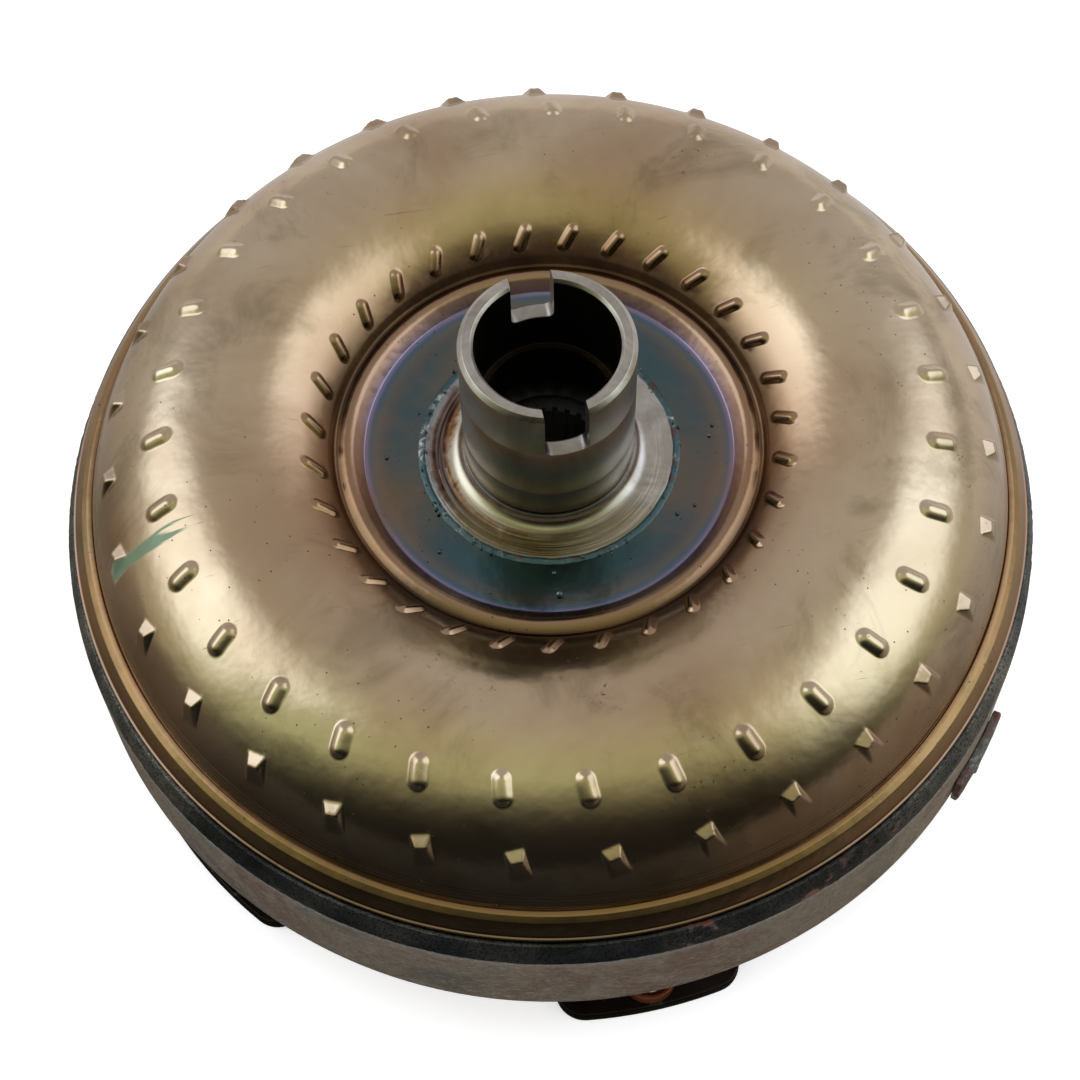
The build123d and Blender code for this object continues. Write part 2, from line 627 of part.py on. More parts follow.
STATOR_SPLINE_R = 15.6
with BuildPart() as clutch_inner_race:
    revolve(box_section(STATOR_SPLINE_R, INNER_RACE_R, 50.5, 82.0), axis=Axis.Z)
    add(spline_grooves(STATOR_SPLINE_R, 1.1, 30, 50.5, 82.0), mode=Mode.SUBTRACT)
save(clutch_inner_race, "clutch_inner_race")

with BuildPart() as clutch_rollers:
    with BuildSketch(Plane.XY.offset(ROLLER_Z[0])):
        with PolarLocations(ROLLER_PCD_R, ROLLERS):
            Circle(ROLLER_R)
    extrude(amount=ROLLER_Z[1] - ROLLER_Z[0])
    chamfer(clutch_rollers.edges().filter_by(GeomType.CIRCLE), 0.4)
save(clutch_rollers, "clutch_rollers")

WINDOW_DEG = (-6.6, 12.0)     # window sides about each roller, with room for its spring
with BuildPart() as clutch_cage:
    revolve(box_section(28.3, 31.6, 55.2, 76.8), axis=Axis.Z)
    for k in range(ROLLERS):
        revolve(
            box_section(27.0, 33.0, ROLLER_Z[0] - 0.2, ROLLER_Z[1] + 0.2).rotate(
                Axis.Z, k * 360 / ROLLERS + WINDOW_DEG[0]
            ),
            axis=Axis.Z, revolution_arc=WINDOW_DEG[1] - WINDOW_DEG[0], mode=Mode.SUBTRACT,
        )
save(clutch_cage, "clutch_cage")

LEAF_T = 0.25
FOLDS = 5                     # corners of each folded leaf, spread over the window beside a roller
with BuildPart() as leaf_spring:
    with BuildSketch(Plane.XY.offset(ROLLER_Z[0] + 2)):
        with BuildLine():
            Polyline(*[polar(28.6 + 2.7 * (k % 2), 6.9 + 1.1 * k) for k in range(FOLDS)])
            offset(amount=LEAF_T / 2, kind=Kind.INTERSECTION, side=Side.BOTH, closed=True)
        make_face()
    extrude(amount=ROLLER_Z[1] - ROLLER_Z[0] - 4)
with BuildPart() as clutch_springs:
    with PolarLocations(0, ROLLERS):
        add(leaf_spring.part)
save(clutch_springs, "clutch_springs")

# ======================= needle thrust bearings on both sides of the stator =======================

RACE_R = (27.8, 37.4)
CAGE_R = (28.6, 36.8)
NEEDLES, NEEDLE_L, NEEDLE_PCD_R = 24, 5.6, 32.7


def race(low):
    with BuildPart() as ring:
        revolve(box_section(*RACE_R, low, low + RACE_T), axis=Axis.Z)
    return ring


def needle_blanks(middle, radius, length):
    """Radial round bars, one per needle, centred on the bearing's middle plane."""
    with BuildPart() as bars:
        with PolarLocations(NEEDLE_PCD_R, NEEDLES):
            with Locations(Location((0, 0, middle), (0, 90, 0))):
                Cylinder(radius, length)
    return bars


def cage(middle):
    with BuildPart() as ring:
        revolve(box_section(*CAGE_R, middle - 0.6, middle + 0.6), axis=Axis.Z)
        with BuildSketch(Plane.XY.offset(middle - 1)):
            with PolarLocations(NEEDLE_PCD_R, NEEDLES):
                Rectangle(NEEDLE_L + 0.4, 2 * NEEDLE_R + 0.2)
        extrude(amount=2, mode=Mode.SUBTRACT)
    return ring


REAR_LOW = TURBINE_DISC_TOP + 0.05
REAR_MIDDLE = REAR_LOW + RACE_T + NEEDLE_R + 0.02
FRONT_HIGH = FLANGE_UNDER - 0.05
FRONT_MIDDLE = FRONT_HIGH - RACE_T - NEEDLE_R - 0.02
save(race(REAR_LOW), "rear_bearing_lower_race")
save(race(STATOR_LOW - 0.03 - RACE_T), "rear_bearing_upper_race")
save(cage(REAR_MIDDLE), "rear_bearing_cage")
save(needle_blanks(REAR_MIDDLE, NEEDLE_R, NEEDLE_L), "rear_bearing_needles")
save(race(STATOR_HIGH + 0.03), "front_bearing_lower_race")
save(race(FRONT_HIGH - RACE_T), "front_bearing_upper_race")
save(cage(FRONT_MIDDLE), "front_bearing_cage")
save(needle_blanks(FRONT_MIDDLE, NEEDLE_R, NEEDLE_L), "front_bearing_needles")
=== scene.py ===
import json
import math

import bpy
import numpy as np
from mathutils import Matrix, Vector, noise


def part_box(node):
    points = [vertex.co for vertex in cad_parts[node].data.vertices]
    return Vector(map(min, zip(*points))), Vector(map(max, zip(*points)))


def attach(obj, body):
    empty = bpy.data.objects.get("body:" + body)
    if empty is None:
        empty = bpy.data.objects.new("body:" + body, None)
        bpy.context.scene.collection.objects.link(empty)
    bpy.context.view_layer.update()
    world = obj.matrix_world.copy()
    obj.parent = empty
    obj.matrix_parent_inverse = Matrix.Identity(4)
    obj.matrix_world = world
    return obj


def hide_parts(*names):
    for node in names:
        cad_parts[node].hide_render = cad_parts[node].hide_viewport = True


# The looks of a torque converter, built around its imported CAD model.
# +Z is the spin axis and z = 0 the lugs' bolting plane. Shapes are worked out in mm and turn into Blender's
# metres where their mesh is made. Lengths inside the looks are in metres, as shader nodes see them.

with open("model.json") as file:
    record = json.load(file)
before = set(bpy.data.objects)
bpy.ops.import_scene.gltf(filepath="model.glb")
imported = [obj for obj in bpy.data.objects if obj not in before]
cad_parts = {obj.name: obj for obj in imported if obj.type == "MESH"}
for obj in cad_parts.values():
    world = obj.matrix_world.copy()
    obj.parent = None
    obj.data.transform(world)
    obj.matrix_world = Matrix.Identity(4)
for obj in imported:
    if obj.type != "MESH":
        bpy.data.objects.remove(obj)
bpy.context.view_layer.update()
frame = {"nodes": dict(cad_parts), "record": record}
MM = 0.001

# ---- places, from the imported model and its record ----
HUB_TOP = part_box("impeller_hub")[1].z / MM
FOOT_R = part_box("impeller_hub")[1].x / MM
FLANGE_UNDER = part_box("impeller_hub")[0].z / MM
COVER_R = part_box("front_cover")[1].x / MM
COVER_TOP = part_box("front_cover")[1].z / MM
COVER_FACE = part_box("front_cover")[0].z / MM
BAND_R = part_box("impeller_shell")[1].x / MM
SPIGOT_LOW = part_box("impeller_shell")[0].z / MM
LUG_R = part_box("drive_lugs")[1].y / MM
NUT_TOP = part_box("lug_nuts")[1].z / MM
BUSH_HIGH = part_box("hub_bushing")[1].z / MM
BUSH_SEAT_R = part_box("hub_bushing")[1].x / MM
MOUNTS = {mount["name"]: mount["dims"] for mount in frame["record"]["mounts"]}
HUB_R = MOUNTS["hub_journal"]["r_mm"]
HUB_BORE_R = MOUNTS["hub_bore"]["r_mm"]
LUGS = MOUNTS["lug_bolts"]["count"]
LUG_PCD_R = MOUNTS["lug_bolts"]["pcd_mm"] / 2
LUG_HOLE_R = MOUNTS["lug_bolts"]["hole_r_mm"]

# ---- the shell's flow section and its blade lines (mm, degrees, and lean in radians) ----
TORUS_R, TORUS_Z = 84.9, 67.15
SHELL_OUT, SHELL_IN = 38.4, 36.0
BLADES = 31
BLADE_IN_R, BLADE_IN_DEG = 61.3, 2.76
BLADE_LEAN_IN, BLADE_LEAN_RATE = -0.635, 0.02084

# ---- the rest of the shell (mm) ----
FLANGE_TOP = 88.8
COLLAR_R, COLLAR_Z = 48.5, 89.7
BEAD_R, BEAD_Z = 52.4, 93.0
BEAD_OUT_R, BEAD_END_R = 55.6, 57.4
GROOVE_R, GROOVE_FLOOR = 122.0, 73.4
LIP_R, SPIGOT_R = 128.3, 127.2

# ---- the hub's turned lines as (height, half width, depth), its undercut and its slots (mm) ----
TURNED_LINES = ((123.8, 0.3, 0.14), (104.2, 0.2, 0.06))
UNDERCUT_LOW, UNDERCUT_HIGH, UNDERCUT_DEPTH = 92.9, 94.1, 0.9
RIM_CHAMFER_IN, RIM_CHAMFER_OUT = 0.8, 1.15
SLOT_W, SLOT_FLOOR, SLOT_ROUND = 11.0, 124.0, 2.0

# ---- the photograph's view, from its solved perspective (degrees and mm) ----
# The azimuth is counted from -Y.
VIEW_AZIMUTH, VIEW_ELEVATION, VIEW_ROLL = -11.4, 62.36, 1.361
CAMERA_PLACE = Vector((-64.57, -305.35, 632.92))
LENS, SENSOR_WIDTH = 79.39, 36.0


def unit(degrees):
    """Cosine and sine of an angle in degrees."""
    return math.cos(math.radians(degrees)), math.sin(math.radians(degrees))


def arc_points(centre, radius, start, end, steps):
    """Points on an arc, from one angle in degrees to another."""
    turns = [unit(degrees) for degrees in np.linspace(start, end, steps + 1)]
    return [(centre[0] + radius * c, centre[1] + radius * s) for c, s in turns]


# ======================= camera =======================

camera_data = bpy.data.cameras.new("camera")
camera_data.sensor_width = SENSOR_WIDTH
camera_data.lens = LENS
camera_data.clip_start = 0.01
camera_data.clip_end = 50.0
camera = bpy.data.objects.new("camera", camera_data)
bpy.context.scene.collection.objects.link(camera)
back, side = unit(VIEW_AZIMUTH)
flat, up = unit(VIEW_ELEVATION)
toward_camera = Vector((side * flat, -back * flat, up))
roll = Matrix.Rotation(math.radians(-VIEW_ROLL), 3, "Z").to_quaternion()
camera.location = CAMERA_PLACE * MM
camera.rotation_mode = "QUATERNION"
camera.rotation_quaternion = (-toward_camera).to_track_quat("-Z", "Y") @ roll
bpy.context.scene.camera = camera
bpy.context.scene.view_settings.view_transform = "Standard"


# ======================= tools for looks =======================

def srgb(red, green, blue):
    """A colour given as 0 to 255, in the linear values that shaders take."""
    values = [v / 255 for v in (red, green, blue)]
    return [v / 12.92 if v <= 0.04045 else ((v + 0.055) / 1.055) ** 2.4 for v in values] + [1.0]


def facing(azimuth, elevation):
    """A direction from the object, with azimuth 0 to the photograph's right and 90 to its back."""
    across, away = unit(azimuth + VIEW_AZIMUTH)
    level, high = unit(elevation)
    return Vector((across * level, away * level, high))


class Look:
    """One node material, with short ways to add the nodes that the looks below share."""

    def __init__(self, name, tree_owner=None, **fixed):
        if tree_owner is None:
            self.material = bpy.data.materials.new(name)
            tree_owner = self.material
        tree_owner.use_nodes = True
        self.tree = tree_owner.node_tree
        self.shader = self.tree.nodes.get("Principled BSDF")
        for label, value in fixed.items():
            self.shader.inputs[label.replace("_", " ")].default_value = value
        self.where = self.node("ShaderNodeTexCoord").outputs["Object"]

    def node(self, kind, inputs=None, **settings):
        made = self.tree.nodes.new(kind)
        for key, value in settings.items():
            setattr(made, key, value)
        for key, value in (inputs or {}).items():
            if isinstance(value, bpy.types.NodeSocket):
                self.tree.links.new(value, made.inputs[key])
            else:
                made.inputs[key].default_value = value
        return made

    def math(self, operation, a, b=0.0, c=0.0):
        return self.node("ShaderNodeMath", {0: a, 1: b, 2: c}, operation=operation).outputs[0]

    def times(self, product, *factors):
        for factor in factors:
            product = self.math("MULTIPLY", product, factor)
        return product

    def mix(self, share, a, b, blend="MIX"):
        made = self.node("ShaderNodeMix", {0: share, 6: a, 7: b}, data_type="RGBA", blend_type=blend)
        return made.outputs[2]

    def ramp(self, value, stops, ease="LINEAR"):
        """A colour ramp through stops of (place, colour), where a bare number is a grey."""
        made = self.node("ShaderNodeValToRGB", {"Fac": value})
        ramp = made.color_ramp
        ramp.interpolation = ease
        while len(ramp.elements) < len(stops):
            ramp.elements.new(1.0)
        for element, (place, colour) in zip(ramp.elements, stops):
            element.position = place
            element.color = colour if isinstance(colour, list) else [colour, colour, colour, 1.0]
        return made.outputs["Color"]

    def span(self, value, low, high, out_low=0.0, out_high=1.0, ease="SMOOTHSTEP"):
        """Value from low to high as out_low to out_high, and no further."""
        ends = {"From Min": low, "From Max": high, "To Min": out_low, "To Max": out_high}
        made = self.node("ShaderNodeMapRange", {"Value": value, **ends}, interpolation_type=ease)
        return made.outputs["Result"]

    def noise(self, scale, detail=4.0, rough=0.55, warp=0.0, at=None):
        settings = {"Scale": scale, "Detail": detail, "Roughness": rough, "Distortion": warp}
        return self.node("ShaderNodeTexNoise", {"Vector": at or self.where, **settings}).outputs["Fac"]

    def cells(self, scale):
        """Distance from the middle of the nearest of many scattered cells."""
        made = self.node("ShaderNodeTexVoronoi", {"Vector": self.where, "Scale": scale}, feature="F1")
        return made.outputs["Distance"]

    def stretched(self, scale, turn=0.0, at=None):
        """The place, turned about Z and scaled by three factors, for streaks along an axis."""
        rotation = (0, 0, math.radians(turn))
        made = self.node(
            "ShaderNodeMapping", {"Vector": at or self.where, "Scale": scale, "Rotation": rotation}
        )
        return made.outputs["Vector"]

    def along(self, way, at=None):
        """How far the place lies along a direction."""
        inputs = {0: at or self.where, 1: tuple(way)}
        return self.node("ShaderNodeVectorMath", inputs, operation="DOT_PRODUCT").outputs["Value"]

    def axes(self, at=None):
        made = self.node("ShaderNodeSeparateXYZ", {"Vector": at or self.where})
        return made.outputs["X"], made.outputs["Y"], made.outputs["Z"]

    def radius(self):
        x, y, _ = self.axes()
        return self.math("SQRT", self.math("ADD", self.times(x, x), self.times(y, y)))

    def turned(self):
        """Angle about the spin axis, radius and height as one vector, for marks that follow the lathe."""
        x, y, z = self.axes()
        angle = self.math("ARCTAN2", y, x)
        made = self.node("ShaderNodeCombineXYZ", {"X": angle, "Y": self.radius(), "Z": z})
        return made.outputs["Vector"]

    def bump(self, height, depth, strength, under=None):
        inputs = {"Height": height, "Distance": depth, "Strength": strength}
        if under is not None:
            inputs["Normal"] = under
        return self.node("ShaderNodeBump", inputs).outputs["Normal"]

    def finish(self, colour, roughness=None, normal=None, metallic=None):
        """The material, with its colour and the rest put on the shader."""
        labels = ("Base Color", "Roughness", "Normal", "Metallic")
        for label, value in zip(labels, (colour, roughness, normal, metallic)):
            if isinstance(value, bpy.types.NodeSocket):
                self.tree.links.new(value, self.shader.inputs[label])
            elif value is not None:
                self.shader.inputs[label].default_value = value
        return self.material


# ======================= light =======================

LAMP_AIM, LAMP_DISTANCE = Vector((0, 0, 0.08)), 0.9
DAYLIGHT = (0.83, 0.91, 1.0)


def softbox(name, direction, width, height, radiance):
    """A rectangular lamp that lights the object and isn't mirrored in it."""
    light = bpy.data.lights.new(name, "AREA")
    light.shape = "RECTANGLE"
    light.size = width
    light.size_y = height
    light.color = DAYLIGHT
    light.energy = radiance * math.pi * width * height
    lamp = bpy.data.objects.new(name, light)
    bpy.context.scene.collection.objects.link(lamp)
    lamp.location = LAMP_AIM + direction * LAMP_DISTANCE
    lamp.rotation_mode = "QUATERNION"
    lamp.rotation_quaternion = (-direction).to_track_quat("-Z", "Y")
    lamp.visible_camera = False
    lamp.visible_glossy = False


softbox("softbox_left", facing(166, 43), 0.44, 0.58, 1.5)
softbox("softbox_right", facing(7, 41), 0.56, 0.60, 1.4)

# The studio round the object, as its shiny surfaces see it: a ceiling that fades to a dark room on the
# camera's side and to grey walls at both sides. It is olive in front and neutral behind.
CEILING_ELEVATION, WALLS = 51, 0.4
world = bpy.data.worlds.new("studio")
bpy.context.scene.world = world
studio = Look("studio", tree_owner=world)
path = studio.node("ShaderNodeLightPath")
direction = studio.node("ShaderNodeTexCoord").outputs["Generated"]
sideways = studio.along(facing(0, 0), direction)
ceiling = studio.along(facing(90, CEILING_ELEVATION), direction)
lift = studio.math("MULTIPLY_ADD", studio.times(sideways, sideways), WALLS, ceiling)
level = studio.ramp(
    studio.span(lift, -0.6, 1.0, ease="LINEAR"),
    [
        (0.0, 0.004), (0.19, 0.005), (0.28, 0.010), (0.39, 0.045), (0.48, 0.14),
        (0.55, 0.27), (0.61, 0.43), (0.67, 0.57), (0.74, 0.54), (1.0, 0.50),
    ],
)
tint = studio.ramp(
    studio.span(studio.along(facing(90, 0), direction), -1.0, 1.0, ease="LINEAR"),
    [
        (0.0, [1, 1.0, 0.60, 1]), (0.35, [0.97, 1.06, 0.64, 1]), (0.5, [1, 0.97, 0.68, 1]),
        (0.75, [1, 0.95, 0.93, 1]), (1.0, [1, 0.98, 1.0, 1]),
    ],
)
room = studio.mix(1.0, level, tint, "MULTIPLY")
_, _, height = studio.axes(direction)
elevation = studio.math("DEGREES", studio.math("ARCSINE", height))
PANEL_CORE = 0.4


def soft_panel(azimuth, reach, middle, tall):
    """How much of a soft-edged panel a direction meets, from 0 to 1. Its half sizes are in degrees."""
    ahead = studio.along(facing(azimuth, 0), direction)
    aside = studio.along(facing(azimuth + 90, 0), direction)
    off_side = studio.math("ABSOLUTE", studio.math("DEGREES", studio.math("ARCTAN2", aside, ahead)))
    off_level = studio.math("ABSOLUTE", studio.math("SUBTRACT", elevation, middle))
    return studio.times(
        studio.span(off_side, PANEL_CORE * reach, reach, 1.0, 0.0),
        studio.span(off_level, PANEL_CORE * tall, tall, 1.0, 0.0),
    )


PANELS = (
    (soft_panel(165, 36, 41, 32), [1.15, 1.30, 1.50, 1]),
    (soft_panel(9, 46, 41, 32), [0.92, 1.04, 1.22, 1]),
)
for panel, glow in PANELS:
    room = studio.mix(panel, room, studio.mix(1.0, room, glow, "ADD"))
seen = studio.mix(path.outputs["Is Glossy Ray"], [1.0, 1.0, 1.0, 1.0], room)
background = world.node_tree.nodes["Background"]
world.node_tree.links.new(seen, background.inputs["Color"])
background.inputs["Strength"].default_value = 1.0


# ======================= floor and card =======================

def stage_sheet(name, outline, look):
    mesh = bpy.data.meshes.new(name)
    mesh.from_pydata(outline, [], [tuple(range(len(outline)))])
    mesh.materials.append(look.material)
    sheet = bpy.data.objects.new(name, mesh)
    bpy.context.scene.collection.objects.link(sheet)
    return sheet


# A pale floor that glows a little, as a light table does, so that shadows on it stay faint.
FLOOR_GLOW, FLOOR_HALF = 0.42, 3.0
floor_look = Look(
    "floor", Roughness=0.9, Emission_Color=(1.0, 1.0, 1.0, 1.0), Emission_Strength=FLOOR_GLOW
)
floor_look.finish(floor_look.mix(floor_look.noise(40.0, 2.0), [0.90, 0.90, 0.90, 1], [0.93, 0.93, 0.93, 1]))
corners = [(x * FLOOR_HALF, y * FLOOR_HALF, 0) for x, y in ((-1, -1), (1, -1), (1, 1), (-1, 1))]
stage_sheet("floor", corners, floor_look)

# A grey card lies round the object, out of the camera's sight: what its shiny sides mirror from below.
# It glows, pale towards the azimuth CARD_BRIGHT and black on the other side.
CARD_BRIGHT, CARD_GLOW = 72, 1.3
CARD_R, CARD_SIDES, CARD_Z = 6.0, 64, 0.0005
card_look = Look("grey_card", Roughness=0.9, Base_Color=(0.0, 0.0, 0.0, 1.0), Emission_Strength=CARD_GLOW)
card_x, card_y, _ = card_look.axes()
turn = card_look.math("ARCTAN2", card_y, card_x)
from_bright = card_look.math("SUBTRACT", turn, math.radians(CARD_BRIGHT + VIEW_AZIMUTH))
grey = card_look.ramp(
    card_look.math("MULTIPLY_ADD", card_look.math("COSINE", from_bright), 0.5, 0.5),
    [
        (0.0, [0.004, 0.004, 0.003, 1]), (0.07, [0.010, 0.009, 0.006, 1]), (0.22, [0.085, 0.066, 0.045, 1]),
        (0.42, [0.21, 0.18, 0.14, 1]), (0.65, [0.36, 0.34, 0.30, 1]), (0.88, [0.56, 0.54, 0.52, 1]),
    ],
    "EASE",
)
card_grain = card_look.times(card_look.noise(60.0, 2.0), 0.1)
card_tone = card_look.mix(card_grain, grey, [0.02, 0.02, 0.02, 1.0])
card_look.tree.links.new(card_tone, card_look.shader.inputs["Emission Color"])
card_rim = arc_points((0, 0), CARD_R, 0, 360, CARD_SIDES)[:-1]
card = stage_sheet("grey_card", [(x, y, CARD_Z) for x, y in card_rim], card_look)
for flag in ("visible_camera", "visible_diffuse", "visible_shadow", "visible_transmission"):
    setattr(card, flag, False)


# ======================= meshes =======================

def add_piece(name, vertices, faces, material, stands_for=(), crease=35):
    """A piece of the housing in a material slot's finish. Edges bent more than crease degrees stay sharp."""
    mesh = bpy.data.meshes.new(name)
    mesh.from_pydata([tuple(v) for v in vertices], [], faces)
    mesh.update()
    mesh.shade_smooth()
    mesh.set_sharp_from_angle(angle=math.radians(crease))
    mesh.materials.append(material)
    piece = bpy.data.objects.new(name, mesh)
    bpy.context.scene.collection.objects.link(piece)
    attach(piece, "housing")
    if stands_for:
        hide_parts(*stands_for)
    return piece


def rounded(corners, closed=True, steps=4):
    """An outline through corners given as (radius, height, rounding), each corner an arc of that radius."""
    points = []
    count = len(corners)
    for k, (x, y, rounding) in enumerate(corners):
        here = Vector((x, y))
        if rounding <= 0 or (not closed and k in (0, count - 1)):
            points.append((x, y))
            continue
        before = (Vector(corners[k - 1][:2]) - here).normalized()
        after = (Vector(corners[(k + 1) % count][:2]) - here).normalized()
        half = before.angle(after) / 2
        setback = rounding / math.tan(half)
        centre = here + (before + after).normalized() * (rounding / math.sin(half))
        start, end = here + before * setback - centre, here + after * setback - centre
        sweep = start.angle_signed(end)
        for j in range(steps + 1):
            turn = Matrix.Rotation(-sweep * j / steps, 2)
            points.append(tuple(centre + turn @ start))
    return points


def grid_faces(rows, columns, wrap_rows):
    faces = []
    for i in range(rows if wrap_rows else rows - 1):
        a, b = i * columns, ((i + 1) % rows) * columns
        for j in range(columns):
            k = (j + 1) % columns
            faces.append((a + j, b + j, b + k, a + k))
    return faces


def flipped(faces):
    return [face[::-1] for face in faces]


def tube_faces(around, rings):
    """Faces of a tube of rings of points, with its two ends closed."""
    ends = [tuple(range(around))[::-1], tuple(range((rings - 1) * around, rings * around))]
    return ends + flipped(grid_faces(rings, around, False))


def lathe(outline, columns, closed=True):
    """Vertices and faces of an outline turned about Z. An open outline starts and ends on the axis."""
    angles = np.arange(columns) * 2 * math.pi / columns
    rings = [(r, z) for r, z in outline if r > 1e-6]
    r = np.array([p[0] for p in rings])[:, None] * MM
    z = np.array([p[1] for p in rings])[:, None] * MM
    vertices = np.stack([r * np.cos(angles), r * np.sin(angles), z + 0 * angles], -1).reshape(-1, 3)
    faces = grid_faces(len(rings), columns, closed)
    if not closed:
        for ring, height, order in ((0, outline[0][1], 1), (len(rings) - 1, outline[-1][1], -1)):
            tip = len(vertices)
            vertices = np.vstack([vertices, [0, 0, height * MM]])
            for j in range(columns):
                pair = (ring * columns + j, ring * columns + (j + 1) % columns)
                faces.append((tip, *pair[::order]))
    return vertices, faces


def roughened(vertices, amount, scale, seed):
    """Vertices pushed out from the axis by smooth noise, up to amount mm, with noise cells 1 / scale mm."""
    moved = np.array(vertices)
    for v in moved:
        radius = math.hypot(v[0], v[1])
        if radius < 1e-6:
            continue
        spot = Vector(v) * scale / MM
        push = noise.fractal(spot + Vector((seed, 0, 0)), 0.6, 2.2, 3) * amount * MM
        v[:2] *= 1 + push / radius
    return moved


def joined(parts):
    """Several meshes, each as vertices and faces, as one."""
    every, whole, start = [], [], 0
    for vertices, faces in parts:
        every.append(vertices)
        whole += [tuple(start + i for i in face) for face in faces]
        start += len(vertices)
    return np.vstack(every), whole


def repeated(vertices, faces, turns):
    """Copies of one mesh turned about Z by each of some angles in degrees, as one mesh."""
    x, y, z = np.array(vertices).T
    copies = [np.stack([x * c - y * s, x * s + y * c, z], -1) for c, s in map(unit, turns)]
    return joined([(copy, faces) for copy in copies])


def plate(loops, low, high, edge):
    """Vertices and faces of a flat plate with rounded edges. Loops in mm: the outline, then its holes."""
    curve = bpy.data.curves.new("plate", "CURVE")
    curve.dimensions = "2D"
    curve.fill_mode = "BOTH"
    curve.extrude = (high - low) / 2 * MM - edge * MM
    curve.bevel_depth = edge * MM
    curve.bevel_resolution = 3
    curve.offset = -edge * MM
    for loop in loops:
        spline = curve.splines.new("POLY")
        spline.points.add(len(loop) - 1)
        for point, (x, y) in zip(spline.points, loop):
            point.co = (x * MM, y * MM, 0, 1)
        spline.use_cyclic_u = True
    holder = bpy.data.objects.new("plate", curve)
    mesh = bpy.data.meshes.new_from_object(holder)
    vertices = np.array([v.co for v in mesh.vertices]) + np.array([0, 0, (low + high) / 2 * MM])
    faces = [tuple(p.vertices) for p in mesh.polygons]
    bpy.data.objects.remove(holder)
    bpy.data.curves.remove(curve)
    return vertices, faces


# ======================= looks of the outside =======================

# The shell's colours by radius in mm: the heat tints round the hub's weld, the bead, the dome, the rim. Some
# stops are painted light: a painted highlight on the violet line at the bead's foot, painted shade in the
# valley outside the bead and up the dome's foot, and painted shade in the rim's groove.
SHELL_TINTS_AND_PAINTED_LIGHT = [
    (33, (76, 100, 106)), (40, (70, 100, 110)), (42.5, (82, 98, 106)), (44.2, (96, 104, 108)),
    # the 48.0 stop is the violet heat tint, brightened into a painted highlight
    (45.3, (108, 110, 108)), (46.4, (94, 112, 120)), (47.2, (84, 108, 134)), (48.0, (138, 136, 172)),
    (48.8, (136, 120, 138)), (50, (160, 130, 120)), (52.5, (172, 142, 116)), (54, (140, 112, 90)),
    # 55.4 to 60.5: painted shade, darkening the valley outside the bead and the foot of the dome
    (55.4, (70, 54, 42)), (57.5, (84, 66, 50)), (60.5, (140, 114, 90)), (64, (186, 158, 130)),
    (70, (208, 184, 154)), (78, (216, 196, 166)), (95, (218, 200, 172)), (106, (212, 194, 166)),
    (113, (204, 184, 160)), (118, (196, 176, 156)), (121.9, (176, 156, 134)),
    # 122.4: painted shade in the rim's groove
    (122.4, (124, 98, 72)), (123.2, (150, 122, 88)), (125.0, (168, 140, 102)), (126.2, (172, 148, 118)),
    (127.4, (160, 132, 112)), (128.2, (142, 120, 108)),
]
TINT_REACH = 135
MARK_DEG = -174.4


def rubbed_scratches(look):
    """Where fine scratches run in three directions, from 0 to 1."""
    scratch = 0.0
    for turn in (24, -58, 80):
        streaks = look.noise(34.0, 4.0, 0.6, 0.3, at=look.stretched((1.0, 26.0, 7.0), turn))
        scratch = look.math("MAXIMUM", scratch, look.span(streaks, 0.70, 0.76))
    return scratch


def brushed_mark(look):
    """Where a short brushed mark of paint covers the shell, from 0 to 1."""
    mark_x, mark_y = unit(MARK_DEG)
    across = look.along((-mark_y, mark_x, 0))
    outward = look.along((mark_x, mark_y, 0))
    bristle = look.noise(1.0, 3.0, 0.6, at=look.stretched((25.0, 900.0, 25.0), -MARK_DEG))
    wobble = look.times(look.math("SUBTRACT", look.noise(60.0, 2.0), 0.5), 0.003)
    beside = look.math("ABSOLUTE", look.math("ADD", across, wobble))
    edge = look.math("SUBTRACT", look.span(outward, 0.094, 0.106, 0.0026, 0.0020), beside)
    loaded = look.span(outward, 0.094, 0.112, 0.60, 0.22)
    return look.times(
        look.span(look.math("SUBTRACT", bristle, loaded), -0.03, 0.05),
        look.span(edge, -0.0003, 0.0004),
        look.span(outward, 0.1172, 0.1185, 0.80, 0.0),
        look.span(outward, 0.0925, 0.0950),
    )


